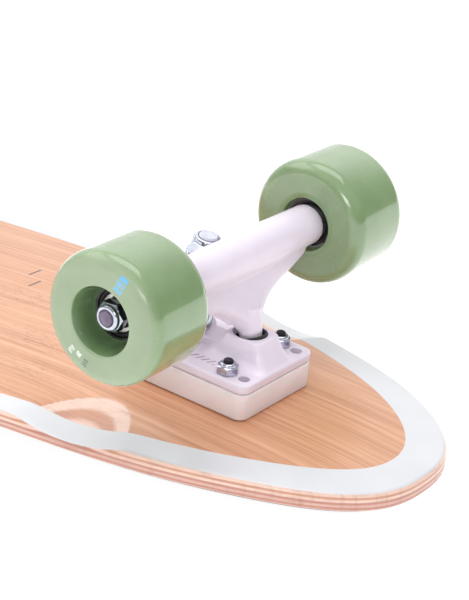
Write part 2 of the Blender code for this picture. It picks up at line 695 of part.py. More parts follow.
def on_axle(item, steering, y=0.0, side=1):
    """Lay an upright piece along the axle, its top facing outward."""
    spot = Vector((0.0, y, AXLE_HEIGHT)) - RING_CENTRE
    return place(item, steering, spot, (-side * QUARTER, 0, 0))


# ---------------------------------------------------------------- wheels and bearings

def wheel_profile():
    """The wheel's section from the middle of its outer face over the tread and back."""
    half = WHEEL_WIDTH / 2
    shoulder = WHEEL_RADIUS - WHEEL_LIP
    outer_lip = arc(WHEEL_LIP, 90, 0, LIP_STEPS, (shoulder, half - WHEEL_LIP))
    inner_lip = arc(WHEEL_LIP, 0, -90, LIP_STEPS, (shoulder, WHEEL_LIP - half))
    far_seat = BEARING_MIDDLE + BEARING_OFFSET + BEARING_WIDTH / 2 + CONTACT_GAP
    near_seat = BEARING_MIDDLE - BEARING_OFFSET - BEARING_WIDTH / 2 - CONTACT_GAP
    shoulder_offset = BEARING_OFFSET - BEARING_WIDTH / 2 - CONTACT_GAP
    return [(WHEEL_RECESS_RADIUS, half), *outer_lip, *inner_lip, (WHEEL_HUB_RADIUS, -half),
            (INNER_MOUTH_RADIUS, near_seat), (SEAT_RADIUS, near_seat),
            (SEAT_RADIUS, BEARING_MIDDLE - shoulder_offset),
            (SHOULDER_RADIUS, BEARING_MIDDLE - shoulder_offset),
            (SHOULDER_RADIUS, BEARING_MIDDLE + shoulder_offset),
            (SEAT_RADIUS, BEARING_MIDDLE + shoulder_offset), (SEAT_RADIUS, far_seat),
            (OUTER_MOUTH_RADIUS, far_seat)]


def build_wheel(end, side, steering):
    """A wheel with its two bearings, their inner sleeve and its axle nut."""
    label = end + ("_left" if side * END_SIGN[end] > 0 else "_right")
    spin = on_axle(new_empty(label + "_spin"), steering, side * WHEEL_Y, side)
    wheel = turned(label + "_wheel", wheel_profile(), URETHANE, WHEEL_SEGMENTS, closed=True)
    place(wheel, spin)

    half = BEARING_WIDTH / 2
    for where, facing in (("outboard", 1), ("inboard", -1)):
        shield = half - SHIELD_THICKNESS
        profile = [(OUTER_RACE_BORE_RADIUS, -half), (OUTER_RACE_BORE_RADIUS, shield),
                   (SHIELD_BORE_RADIUS, shield), (SHIELD_BORE_RADIUS, half),
                   (BEARING_RADIUS, half), (BEARING_RADIUS, -half)]
        if facing < 0:
            profile.reverse()
        middle = BEARING_MIDDLE + facing * BEARING_OFFSET
        profile = [(radius, middle + facing * height) for radius, height in profile]
        bearing = turned(f"{label}_{where}_bearing", profile, STEEL, closed=True)
        place(bearing, spin)

    on_axle(bearing_sleeve(label), steering, side * WHEEL_Y, side)
    bottom = BEARING_MIDDLE + SLEEVE_HALF_LENGTH + CONTACT_GAP
    for item in hex_nut(label + "_axle_nut", AXLE_NUT_WIDTH, AXLE_RADIUS + CONTACT_GAP, bottom,
                        AXLE_NUT_HEIGHT):
        on_axle(item, steering, side * WHEEL_Y, side)


def bearing_sleeve(label):
    """The inner races with their built-in spacer and end washers, clamped on the axle."""
    bore = AXLE_RADIUS + SLEEVE_GAP
    race_end = BEARING_OFFSET + BEARING_WIDTH / 2
    race_start = BEARING_OFFSET - BEARING_WIDTH / 2
    upper = [(bore, SLEEVE_HALF_LENGTH), (SPEED_WASHER_RADIUS, SLEEVE_HALF_LENGTH),
             (SPEED_WASHER_RADIUS, race_end), (INNER_RACE_RADIUS, race_end),
             (INNER_RACE_RADIUS, race_start), (SPACER_RADIUS, race_start)]
    lower = [(radius, -height) for radius, height in reversed(upper)]
    profile = [(radius, BEARING_MIDDLE + height) for radius, height in upper + lower]
    return turned(label + "_bearing_sleeve", profile, STEEL, SLEEVE_SEGMENTS, closed=True)


# ---------------------------------------------------------------- assembly

def build_truck(end, frame):
    build_riser(end, frame)
    build_baseplate(end, frame)
    build_pivot_cup(end, frame)
    build_kingpin(end, frame)
    build_mounting_bolts(end, frame)
    steering = new_empty(end + "_steering", frame, RING_CENTRE)
    build_hanger(end, frame, steering)
    build_axle(end, steering)
    for side in (1, -1):
        build_wheel(end, side, steering)


def main():
    frames = {}
    for end, sign in END_SIGN.items():
        height = DECK_TOP - underside_drop(TRUCK_X)
        turn = 0.0 if sign > 0 else math.pi
        frames[end] = new_empty(end + "_truck_frame", None, (sign * TRUCK_X, 0.0, height),
                                (0.0, END_ANGLE, turn))
    build_deck(frames)
    for end, frame in frames.items():
        build_truck(end, frame)
    for item in PARTS.objects:
        if item.type == "MESH":
            shade_round(item)


DECK_TOP = SHEET_DEPTH - underside_height(GRIP_END_X, 0.0)

clear_scene()
PARTS = new_collection("cruiser_skateboard")
CUTTERS = new_collection("cutters")
WOOD = new_material("bamboo_plywood", (0.80, 0.50, 0.30), 0.45)
GRIT = new_material("grip_tape", (0.03, 0.03, 0.03), 0.95)
PAD = new_material("riser_rubber", (0.80, 0.68, 0.62), 0.5)
CAST = new_material("white_paint", (0.85, 0.80, 0.88), 0.35)
URETHANE = new_material("mint_urethane", (0.38, 0.55, 0.34), 0.3)
RUBBER = new_material("bushing_urethane", (0.85, 0.85, 0.82), 0.5)
BLACK_PLASTIC = new_material("black_plastic", (0.02, 0.02, 0.02), 0.5)
STEEL = new_material("steel", (0.55, 0.55, 0.57), 0.3, 1.0)
CHROME = new_material("chrome", (0.80, 0.80, 0.82), 0.15, 1.0)
BLACK_STEEL = new_material("black_steel", (0.05, 0.04, 0.06), 0.35, 1.0)
main()
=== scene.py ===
import json
import math

import bmesh
import bpy
from mathutils import Matrix, Vector


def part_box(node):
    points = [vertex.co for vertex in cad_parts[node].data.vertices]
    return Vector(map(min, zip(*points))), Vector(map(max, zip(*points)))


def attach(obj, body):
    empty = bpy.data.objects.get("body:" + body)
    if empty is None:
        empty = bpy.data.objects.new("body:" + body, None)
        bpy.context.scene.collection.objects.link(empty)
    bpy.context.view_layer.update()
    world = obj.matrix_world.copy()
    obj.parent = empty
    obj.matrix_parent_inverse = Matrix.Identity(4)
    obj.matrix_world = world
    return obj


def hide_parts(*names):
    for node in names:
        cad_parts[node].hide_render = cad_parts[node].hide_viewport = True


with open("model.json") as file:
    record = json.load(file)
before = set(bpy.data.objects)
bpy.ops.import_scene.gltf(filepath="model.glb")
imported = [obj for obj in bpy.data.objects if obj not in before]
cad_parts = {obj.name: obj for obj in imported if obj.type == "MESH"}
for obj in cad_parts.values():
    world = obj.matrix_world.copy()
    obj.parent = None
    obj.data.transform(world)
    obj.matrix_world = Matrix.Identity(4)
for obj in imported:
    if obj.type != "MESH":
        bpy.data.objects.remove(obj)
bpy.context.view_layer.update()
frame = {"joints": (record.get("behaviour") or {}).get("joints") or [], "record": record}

# Looks of a mini cruiser skateboard that lies upside down. Lengths are millimetres unless a name
# or comment says otherwise; MM turns them into metres. Each truck is drawn in its own frame: its
# origin is the foot of the axle on the deck's underside, x points to that truck's end and z away
# from the wood.
MM = 0.001
RECORD = frame["record"]
BODY_OF = {node: body for body, nodes in RECORD["behaviour"]["bodies"].items() for node in nodes}
JOINTS = {joint["name"]: joint for joint in frame["joints"]}
END_SIGN = {"nose": 1, "tail": -1}
QUARTER = math.pi / 2

# Deck, from the frame's box and the press that shaped it
HALF_LENGTH, HALF_WIDTH, DECK_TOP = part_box("deck")[1] / MM
DECK_THICKNESS = 9.0
BULLNOSE = 2.2
OUTLINE_POWERS = (2.68, 2.5)
END_ANGLE = math.radians(5.0)
BEND_START = 165.0
BEND_END = 200.0
KICK_START = 289.0
KICK_RADIUS = 550.0
CONCAVE_DEPTH = 5.7
CONCAVE_FLAT = 12.0
OUTLINE_POINTS = 720
TOP_RINGS = 48
BOTTOM_RINGS = 10
ROUNDING_STEPS = 5
GRIP_THICKNESS = 0.8
GRIP_SHOWN = 0.79
PAINTED_DEPTH = 6.5
FACE_VENEER = (0.12, 0.40)
PRINT_DEPTH = 0.1
GRIP_INSET = 3.0
CONTACT_GAP = 0.3
PAINT_OUTER_INSET = (0.8, 1.2)
PAINT_INNER = (340.0, 88.6)
PAINT_INNER_POWERS = (2.5, 2.1)

# Wheel wells: tilted round bars, as the tool that cuts them
WELL_RADIUS = 90.5
WELL_EDGE_DEPTH = 4.6
WELL_REACH = 39.5
WELL_EDGE_Y = 88.0
WELL_X = -21.0
NO_CUT = -20.0
PLY_STARTS = (0.15, 1.6, 2.7, 4.0, 5.2, 6.4, 7.6, 8.6)
PLY_BLEND = 0.2
DECK_STROKES = ((98.0, 31.0), (108.3, 19.0))
STROKE_LENGTH = 9.5
STROKE_WIDTH = 1.2

# Truck, in its own frame
AXLE_HEIGHT = 63.0
BASE_LENGTH = 75.0
BASE_WIDTH = 55.8
BASE_CENTRE_X = -5.5
BASE_CORNER = 5.0
RISER_TOP = 13.1
FLANGE_BOTTOM = 13.4
FLANGE_TOP = 18.0
BOLT_Y = 20.65
BOLT_ROWS = (16.8, -37.2)
ALL_ROWS = (*BOLT_ROWS, 26.3)
BOLT_RADIUS = 2.4
BOLT_HOLE_RADIUS = 2.75
BOLT_END = 24.6
SINK_OVERRUN = 4.0
BOLT_HEAD_RADIUS = 4.6
HEAD_BOTTOM = 0.2 - DECK_THICKNESS - CONTACT_GAP - GRIP_THICKNESS
HEAD_EDGE = -9.1
SOCKET_WIDTH = 3.2
SOCKET_DEPTH = 2.2
KINGPIN_LEAN = math.radians(10.0)
SEAT_K = -18.9
PIVOT_CENTRE = Vector((16.1, 0.0, 21.0))
PIVOT_LEAN = math.radians(-17.0)
PIVOT_BALL_RADIUS = 5.2
WEB_SLOPE = math.atan(0.4)
HANGER_HALF_LENGTH = 58.7
CAST_VOXEL = 0.55
CAST_SMOOTHING = 7
HUMP_POWERS = (6.0, 6.0)
HUMP_POINTS = 96
WEB_POWERS = (2.4, 2.4)
FLANGE_OVERLAP = 2.0

# Kingpin stack, measured along the kingpin from the ring's centre
KINGPIN_RADIUS = 4.76
KINGPIN_END = 26.0
KINGPIN_HEAD_RADIUS = 7.8
KINGPIN_HEAD = (-28.4, -23.2)
STACK_BORE = 5.1
RING_BALL_RADIUS = 12.0
BUSHING_SEAT_RADIUS = 12.6
NUT_SEAT = 16.3
# Outer radius, bottom and top
WASHERS = {"road": (8.8, 14.4, 16.0), "board": (12.3, -18.6, -17.0)}
# End radius, radius at the seat's rim, end and side of the ring
BUSHINGS = {"road": (8.7, 9.6, 14.1, 1), "board": (10.5, 9.9, -16.7, -1)}

# Pitch and depth of the threads
COARSE_THREAD = (1.06, 0.35)
BOLT_THREAD = (0.8, 0.3)
# Lock nuts: width across the flats, height, hole radius and collar radius
BOLT_NUT = (9.5, 5.0, BOLT_HOLE_RADIUS, 3.9)
KINGPIN_NUT = (14.3, 8.7, 5.06, 6.3)
AXLE_NUT = (12.7, 7.0, 4.15, 5.9)
# Rings pressed into them: inner and outer radius, bottom and top
BOLT_INSERT = (2.45, 2.95, 3.2, 4.75)
KINGPIN_INSERT = (4.9, 5.3, 5.0, 7.4)
AXLE_INSERT = (4.05, 4.6, 3.4, 5.6)

# Wheel; its own z runs outward along the axle from the middle of its width
WHEEL_RADIUS = 30.9
WHEEL_HALF_WIDTH = 20.4
WHEEL_LIP = 7.0
WHEEL_RECESS_RADIUS = 15.85
WHEEL_HUB_RADIUS = 13.5
BEARING_MIDDLE = -4.7
BEARING_OFFSET = 8.5
BEARING_HALF = 3.5
BEARING_RADIUS = 11.0
SEAT_RADIUS = 11.25
# Out to this radius the wheel's bore and bearing seats are painted near-black as shade
SEAT_SHADE_RADIUS = 12.35
SHOULDER_RADIUS = 9.6
SLEEVE_HALF = 13.1
AXLE_RADIUS = 4.0
AXLE_HALF = 93.4
WHEEL_SEGMENTS = 128
TURNED_SEGMENTS = 64
ROD_SEGMENTS = 48
CHAMFER_SEGMENTS = 96
LIP_STEPS = 14
SOCKET_STEPS = 12
BALL_STEPS = 32
HEX_SIDES = 6
BLOCK_CORNER_STEPS = 8
SHARP_ANGLE = math.radians(38)


# ---------------------------------------------------------------- mesh helpers

def skin(rows, closed=False):
    """Join loops that have equal point counts; a loop of one point is a pole."""
    made = bmesh.new()
    loops = [[made.verts.new(point) for point in row] for row in rows]
    pairs = list(zip(loops, loops[1:]))
    if closed:
        pairs.append((loops[-1], loops[0]))
    for lower, upper in pairs:
        count = max(len(lower), len(upper))
        for index in range(count):
            after = (index + 1) % count
            if len(lower) == 1:
                made.faces.new((lower[0], upper[after], upper[index]))
            elif len(upper) == 1:
                made.faces.new((lower[index], lower[after], upper[0]))
            else:
                made.faces.new((lower[index], lower[after], upper[after], upper[index]))
    if not closed:
        for loop in (loops[0], loops[-1]):
            if len(loop) > 1:
                made.faces.new(loop)
    bmesh.ops.recalc_face_normals(made, faces=made.faces)
    return made


def circle(radius, height, segments=TURNED_SEGMENTS):
    if radius < 0.0001:
        return [(0.0, 0.0, height)]
    turns = [2 * math.pi * step / segments for step in range(segments)]
    return [(radius * math.cos(turn), radius * math.sin(turn), height) for turn in turns]


def rounded(profile, radius, closed=False, steps=3):
    """The profile with its corners eased by a small curve."""
    points = [Vector(point) for point in profile]
    count = len(points)
    eased = []
    for index, point in enumerate(points):
        if not closed and index in (0, count - 1):
            eased.append(point)
            continue
        before = points[index - 1] - point
        after = points[(index + 1) % count] - point
        reach = min(radius, 0.45 * before.length, 0.45 * after.length)
        start = point + before.normalized() * reach
        end = point + after.normalized() * reach
        for step in range(steps + 1):
            share = step / steps
            eased.append(start.lerp(point, share).lerp(point.lerp(end, share), share))
    return eased


def lathe(profile, ease=0.2, closed=False, segments=TURNED_SEGMENTS):
    """Turn a profile of (radius, height) points about z, with eased corners."""
    eased = rounded(profile, ease, closed)
    return skin([circle(radius, height, segments) for radius, height in eased], closed)


def arc(radius, start, end, steps, centre=(0.0, 0.0)):
    """Points (r, z) on an arc; the angles are measured from the r axis, in degrees."""
    turns = [math.radians(start + (end - start) * step / steps) for step in range(steps + 1)]
    return [(centre[0] + radius * math.cos(turn), centre[1] + radius * math.sin(turn))
            for turn in turns]


def corner_radius(width):
    """A hexagon's radius to its corners, from its width across the flats."""
    return width / 2 / math.cos(math.pi / HEX_SIDES)


def prism(width, bottom, top):
    """An upright hexagonal prism, its width measured across the flats."""
    return skin([circle(corner_radius(width), height, HEX_SIDES) for height in (bottom, top)])


def rod(radius, bottom, top, segments=ROD_SEGMENTS):
    return skin([circle(radius, bottom, segments), circle(radius, top, segments)])


def repeated(draw, spots):
    """The same shape at several spots, in one mesh."""
    made = bmesh.new()
    for x, y in spots:
        single = draw()
        bmesh.ops.translate(single, vec=(x, y, 0.0), verts=single.verts)
        scratch = bpy.data.meshes.new("scratch")
        single.to_mesh(scratch)
        single.free()
        made.from_mesh(scratch)
        bpy.data.meshes.remove(scratch)
    return made


def rods(radius, spots, bottom, top):
    return repeated(lambda: rod(radius, bottom, top), spots)


def block(low, high, corner=0.0):
    """A box, with its upright edges rounded."""
    low = Vector(low)
    high = Vector(high)
    made = bmesh.new()
    bmesh.ops.create_cube(made, size=1.0)
    bmesh.ops.scale(made, vec=high - low, verts=made.verts)
    bmesh.ops.translate(made, vec=(low + high) / 2, verts=made.verts)
    if corner:
        upright = [edge for edge in made.edges
                   if abs(edge.verts[0].co.z - edge.verts[1].co.z) > 0.5 * (high.z - low.z)]
        bmesh.ops.bevel(made, geom=upright, offset=corner, segments=BLOCK_CORNER_STEPS,
                        profile=0.5, affect="EDGES")
    return made


def superellipse(half_a, half_b, powers, count=TURNED_SEGMENTS):
    points = []
    for step in range(count):
        turn = 2 * math.pi * step / count
        points.append(tuple(half * math.copysign(abs(level) ** (2 / power), level)
                            for half, power, level in zip((half_a, half_b), powers,
                                                          (math.cos(turn), math.sin(turn)))))
    return points


def threaded_rod(radius, pitch, depth, bottom, top, tip):
    """The cut end of a bolt: a helical groove that fades out at a chamfered tip."""
    steps = max(8, int((top - bottom) / pitch * 8))
    rows = []
    for level in range(steps + 1):
        height = bottom + (top - bottom) * level / steps
        row = []
        for index, (x, y, _) in enumerate(circle(1.0, 0.0)):
            phase = (height / pitch - index / TURNED_SEGMENTS) % 1.0
            groove = depth * (1.0 - abs(2.0 * phase - 1.0))
            reach = min(radius - groove, radius - tip + (top - height))
            row.append((x * reach, y * reach, height))
        rows.append(row)
    return skin(rows)


def new_object(name, data):
    """A new object in the scene."""
    item = bpy.data.objects.new(name, data)
    bpy.context.scene.collection.objects.link(item)
    return item


def scratch_object(made, place=Matrix.Identity(4)):
    """A throwaway object of a mesh drawn in millimetres, in metres."""
    made.transform(Matrix.Scale(MM, 4) @ place)
    mesh = bpy.data.meshes.new("scratch")
    made.to_mesh(mesh)
    made.free()
    return new_object("scratch", mesh)


def combine(item, other, operation):
    modifier = item.modifiers.new("combine", "BOOLEAN")
    modifier.operation = operation
    modifier.solver = "EXACT"
    modifier.object = other


def baked(item, *others):
    """The item's mesh with its modifiers applied; the throwaway objects go."""
    bpy.context.view_layer.update()
    graph = bpy.context.evaluated_depsgraph_get()
    mesh = bpy.data.meshes.new_from_object(item.evaluated_get(graph), depsgraph=graph)
    for used in (item, *others):
        bpy.data.objects.remove(used, do_unlink=True)
    return mesh


def carved(base, cuts=(), joins=(), cast=False):
    """Base plus joins minus cuts; a casting is melted to soft fillets before the cuts."""
    item = scratch_object(base)
    used = []
    for made in joins:
        used.append(scratch_object(made))
        combine(item, used[-1], "UNION")
    if cast:
        remesh = item.modifiers.new("melt", "REMESH")
        remesh.mode = "VOXEL"
        remesh.voxel_size = CAST_VOXEL * MM
        soften = item.modifiers.new("soften", "SMOOTH")
        soften.factor = 0.5
        soften.iterations = CAST_SMOOTHING
    for made in cuts:
        used.append(scratch_object(made))
        combine(item, used[-1], "DIFFERENCE")
    return baked(item, *used)


def redrawn(mesh):
    """A finished mesh under construction again, in millimetres."""
    made = bmesh.new()
    made.from_mesh(mesh)
    made.transform(Matrix.Scale(1 / MM, 4))
    bpy.data.meshes.remove(mesh)
    return made


def moved(made, place):
    """The same mesh drawn in another frame, in millimetres."""
    made.transform(place)
    return made


# ---------------------------------------------------------------- frames of the trucks

def tilt(centre, angle):
    """A frame at a point, leaned about y."""
    return Matrix.Translation(centre) @ Matrix.Rotation(angle, 4, "Y")


def spin_point(end, side):
    return Vector(JOINTS[f"{end}_{side}_wheel_spin"]["pos_m"]) / MM


def truck_frame(end):
    middle = (spin_point(end, "left") + spin_point(end, "right")) / 2
    turn = 0.0 if END_SIGN[end] > 0 else math.pi
    return (Matrix.Translation(middle) @ Matrix.Rotation(turn, 4, "Z")
            @ Matrix.Rotation(END_ANGLE, 4, "Y") @ Matrix.Translation((0, 0, -AXLE_HEIGHT)))


TRUCK = {end: truck_frame(end) for end in END_SIGN}
WHEEL_Y = (spin_point("nose", "left") - spin_point("nose", "right")).length / 2
RING_CENTRE = TRUCK["nose"].inverted() @ (Vector(JOINTS["nose_steer"]["pos_m"]) / MM)
KINGPIN = tilt(RING_CENTRE, KINGPIN_LEAN)
PIVOT = tilt(PIVOT_CENTRE, PIVOT_LEAN)


def axle_frame(y=0.0, side=1):
    """A frame on the axle whose z runs outward on that side."""
    return (Matrix.Translation((0, side * y, AXLE_HEIGHT))
            @ Matrix.Rotation(-side * QUARTER, 4, "X"))


def axle_spot(place, y=0.0, side=1):
    """The axle frame in the world, spun about the axle so that it lies along the world's axes."""
    spot = place @ axle_frame(y, side)
    outward = spot.to_3x3() @ Vector((0.0, 0.0, 1.0))
    return (Matrix.Translation(spot.translation)
            @ Matrix.Rotation(-math.copysign(QUARTER, outward.y), 4, "X"))


def in_metres(place):
    """The same frame with its shift in metres."""
    result = place.copy()
    result.translation = place.translation * MM
    return result


def stand_in(node, mesh, material, place=Matrix.Identity(4), suffix="detail", replace=True):
    """Show a mesh at a frame in place of a CAD node, riding on that node's body."""
    item = new_object(f"{node}_{suffix}", mesh)
    item.matrix_world = in_metres(place)
    if not mesh.materials:
        mesh.materials.append(material)
    mesh.shade_smooth()
    mesh.set_sharp_from_angle(angle=SHARP_ANGLE)
    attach(item, BODY_OF[node])
    if replace:
        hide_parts(node)


# ---------------------------------------------------------------- material helpers

def srgb(red, green, blue):
    """A colour given as it looks on screen, 0 to 255, as the linear values a shader takes."""
    levels = [value / 255 for value in (red, green, blue)]
    return (*(level / 12.92 if level < 0.04045 else ((level + 0.055) / 1.055) ** 2.4
              for level in levels), 1.0)


class Graph:
    """The nodes of a world or a material, in few words."""

    def __init__(self, owner):
        owner.use_nodes = True
        self.tree = owner.node_tree

    def node(self, kind, sockets=(), **settings):
        """A new node with its settings, and what goes into its sockets."""
        made = self.tree.nodes.new(kind)
        for key, value in settings.items():
            setattr(made, key, value)
        for key, value in dict(sockets).items():
            self.feed(made.inputs[key], value)
        return made

    def feed(self, socket, value):
        if isinstance(value, bpy.types.NodeSocket):
            self.tree.links.new(value, socket)
        else:
            socket.default_value = value

    def ramp(self, value, stops):
        made = self.node("ShaderNodeValToRGB", {"Fac": value})
        points = made.color_ramp.elements
        for _ in stops[2:]:
            points.new(1.0)
        for point, (position, colour) in zip(points, stops):
            point.position = position
            point.color = colour
        return made.outputs["Color"]

    def spread(self, value, low, high, out_low=0.0, out_high=1.0, **settings):
        """A value carried from one range to another."""
        return self.node("ShaderNodeMapRange", {"Value": value, "From Min": low,
                                                "From Max": high, "To Min": out_low,
                                                "To Max": out_high},
                         **settings).outputs["Result"]


class Recipe(Graph):
    """A material under construction; its place is the piece's own coordinates, in metres."""

    def __init__(self, name, **values):
        self.material = bpy.data.materials.new(name)
        super().__init__(self.material)
        self.shader = self.tree.nodes["Principled BSDF"]
        for key, value in values.items():
            self.drive(key.replace("_", " "), value)
        self.place = self.node("ShaderNodeTexCoord").outputs["Object"]

    def drive(self, name, value):
        self.feed(self.shader.inputs[name], value)

    def stretched(self, x, y, z):
        return self.node("ShaderNodeMapping",
                         {"Vector": self.place, "Scale": (x, y, z)}).outputs["Vector"]

    def even(self, scale):
        return self.stretched(scale, scale, scale)

    def noise(self, vector, detail=3.0, rough=0.55):
        return self.node("ShaderNodeTexNoise", {"Vector": vector, "Scale": 1.0, "Detail": detail,
                                                "Roughness": rough}).outputs["Fac"]

    def maths(self, operation, first, second=0.0):
        return self.node("ShaderNodeMath", {0: first, 1: second}, operation=operation).outputs[0]

    def times(self, first, second):
        return self.maths("MULTIPLY", first, second)

    def plus(self, first, second):
        return self.maths("ADD", first, second)

    def above(self, value, limit):
        return self.maths("GREATER_THAN", value, limit)

    def below(self, value, limit):
        return self.maths("LESS_THAN", value, limit)

    def blend(self, share, first, second):
        return self.node("ShaderNodeMix", {0: share, 6: first, 7: second},
                         data_type="RGBA").outputs[2]

    def mottled(self, value, dark, light):
        """A soft change between two near colours, given 0 to 255, over a noise."""
        return self.ramp(value, [(0.35, srgb(*dark)), (0.65, srgb(*light))])

    def bump(self, height, distance, strength=1.0):
        """Raise the surface by a height, with its distance in millimetres."""
        made = self.node("ShaderNodeBump", {"Height": height, "Distance": distance * MM,
                                            "Strength": strength})
        self.drive("Normal", made.outputs["Normal"])

    def roughness(self, value, low, high):
        self.drive("Roughness", self.spread(value, 0.3, 0.7, low, high))

    def axes(self, vector=None):
        return self.node("ShaderNodeSeparateXYZ", {0: vector or self.place}).outputs

    def turned(self, degrees):
        """The place turned about z, so that the given direction lies along x."""
        turn = (0.0, 0.0, -math.radians(degrees))
        return self.node("ShaderNodeMapping",
                         {"Vector": self.place, "Rotation": turn}).outputs["Vector"]

    def within(self, value, low, high):
        """One where the value, in metres, lies between two limits in millimetres."""
        return self.times(self.above(value, low * MM), self.below(value, high * MM))

    def bars(self, value, pitch, share):
        """One over a share of each pitch, in millimetres."""
        return self.below(self.maths("FRACT", self.maths("DIVIDE", value, pitch * MM)), share)

    def both(self, *masks):
        """One where every mask is one."""
        result = masks[0]
        for mask in masks[1:]:
            result = self.times(result, mask)
        return result

    def radius(self):
        """Distance from the piece's own z axis, in metres."""
        x, y, _ = self.axes()
        squares = (self.maths("POWER", self.maths("ABSOLUTE", value), 2.0) for value in (x, y))
        return self.maths("SQRT", self.plus(*squares))


# ---------------------------------------------------------------- materials

# Dashes on a baseplate: ranges of x, y and z, pitch, printed share and slant
PLATE_DASHES = ((-7.0, 8.0), (-20.0, -16.2), (17.5, 18.6), 3.2, 0.3, -0.6)
# The wheel's flat face fades out between these radii; painted shade darkens its recess down to this
# height
FACE_FADE = (30.6, 27.5)
RECESS_SHADE_BOTTOM = 13.0
# The outer race's inner radius; outside it the race is painted near-black as a dark reflection
RACE_RADIUS = 8.8
# Scale of the turning marks about an axis
TURNING_MARKS = 5200.0
# Share of a printed bar's pitch that is inked
PRINT_SHARE = 0.72
# Direction in degrees, inner and outer radius, half width, bar pitch and colour of each print
WHEEL_PRINTS = ((60.0, 18.6, 27.4, 2.3, 3.1, srgb(120, 186, 226)),
                (238.5, 20.0, 23.6, 1.3, 6.0, srgb(222, 230, 220)),
                (228.0, 20.4, 24.6, 1.3, 1.3, srgb(214, 222, 214)),
                (250.5, 20.6, 24.8, 1.3, 1.3, srgb(112, 122, 112)))


def grained_wood(recipe):
    """Straight-grained bamboo: broad lanes, fine fibres and clusters of short dark pores."""
    lanes = recipe.noise(recipe.stretched(2, 70, 6), detail=2.0)
    streaks = recipe.noise(recipe.stretched(12, 620, 20), detail=4.0, rough=0.6)
    fibres = recipe.noise(recipe.stretched(40, 1500, 60), detail=4.0, rough=0.7)
    tone = recipe.plus(recipe.times(lanes, 0.2), recipe.times(streaks, 0.8))
    colour = recipe.ramp(tone, [(0.34, srgb(188, 127, 90)), (0.46, srgb(204, 145, 107)),
                                (0.54, srgb(212, 154, 116)), (0.66, srgb(224, 170, 135))])
    colour = recipe.blend(recipe.spread(fibres, 0.48, 0.74, 0.0, 0.45), colour,
                          srgb(170, 108, 76))
    clusters = recipe.noise(recipe.stretched(16, 26, 16), detail=1.0)
    pores = recipe.noise(recipe.stretched(240, 1500, 200), detail=2.0)
    shown = recipe.times(recipe.spread(clusters, 0.58, 0.68),
                         recipe.spread(pores, 0.56, 0.64, 0.0, 0.55))
    return recipe.blend(shown, colour, srgb(140, 84, 54)), fibres


def superellipse_norm(recipe, half_x, half_y, powers=OUTLINE_POWERS):
    x, y, _ = recipe.axes()
    parts = []
    for value, half, power in ((x, half_x, powers[0]), (y, half_y, powers[1])):
        share = recipe.maths("DIVIDE", recipe.maths("ABSOLUTE", value), half * MM)
        parts.append(recipe.maths("POWER", share, power))
    return recipe.plus(*parts)


def deck_strokes(recipe, depth):
    """Two short printed strokes on the bamboo face, by the nose truck."""
    x, y, _ = recipe.axes()
    masks = []
    for middle, start in DECK_STROKES:
        masks.append(recipe.both(
            recipe.within(x, middle - STROKE_WIDTH / 2, middle + STROKE_WIDTH / 2),
            recipe.within(y, start, start + STROKE_LENGTH),
            recipe.below(depth, PRINT_DEPTH)))
    return recipe.maths("MAXIMUM", *masks)


def deck_material():
    """Bamboo face, plies below it by depth, and an off-white border between two outlines."""
    recipe = Recipe("deck_bamboo_ply", Roughness=0.42, Coat_Weight=0.5, Coat_Roughness=0.24)
    face, fibres = grained_wood(recipe)
    depth = recipe.node("ShaderNodeAttribute", attribute_name="depth").outputs["Fac"]
    pale, tan, line = srgb(218, 174, 160), srgb(192, 134, 117), srgb(150, 96, 84)
    first, second = srgb(236, 202, 186), srgb(204, 148, 120)
    plies_down = (tan, first, second, first, tan, pale, tan, pale, tan)
    stops = []
    for start, before, after in zip(PLY_STARTS, plies_down, plies_down[1:]):
        stops.append(((start - PLY_BLEND) / DECK_THICKNESS, before))
        stops.append(((start + PLY_BLEND) / DECK_THICKNESS, after))
    plies = recipe.ramp(recipe.spread(depth, 0.0, DECK_THICKNESS), stops)
    sawn = recipe.noise(recipe.stretched(70, 70, 900), detail=3.0, rough=0.7)
    plies = recipe.blend(recipe.spread(sawn, 0.48, 0.78, 0.0, 0.4), plies, line)
    figure = recipe.noise(recipe.stretched(14, 500, 40), detail=3.0, rough=0.65)
    plies = recipe.blend(recipe.spread(figure, 0.52, 0.76, 0.0, 0.35), plies, line)
    wood = recipe.blend(recipe.spread(depth, *FACE_VENEER), face, plies)
    wood = recipe.blend(deck_strokes(recipe, depth), wood, srgb(72, 52, 50))

    outer = superellipse_norm(recipe, HALF_LENGTH - PAINT_OUTER_INSET[0],
                              HALF_WIDTH - PAINT_OUTER_INSET[1])
    inner = superellipse_norm(recipe, *PAINT_INNER, PAINT_INNER_POWERS)
    on_face = recipe.below(depth, PAINTED_DEPTH)
    border = recipe.times(recipe.below(outer, 1.0), recipe.above(inner, 1.0))
    painted = recipe.times(border, on_face)
    clouds = recipe.noise(recipe.even(30), detail=2.0)
    paint = recipe.mottled(clouds, (207, 208, 213), (213, 214, 219))
    recipe.drive("Base Color", recipe.blend(painted, wood, paint))
    recipe.drive("Roughness", recipe.spread(painted, 0.0, 1.0, 0.42, 0.30))
    recipe.bump(recipe.plus(recipe.times(fibres, 0.6), painted), 0.06, 0.5)
    return recipe.material


def grip_material():
    recipe = Recipe("grip_grit", Specular_IOR_Level=0.25)
    grit = recipe.noise(recipe.even(2600), detail=3.0, rough=0.8)
    recipe.drive("Base Color", recipe.ramp(grit, [(0.40, srgb(16, 16, 17)),
                                                  (0.66, srgb(58, 57, 58))]))
    recipe.drive("Roughness", recipe.spread(grit, 0.4, 0.7, 1.0, 0.7))
    recipe.bump(grit, 0.45)
    return recipe.material


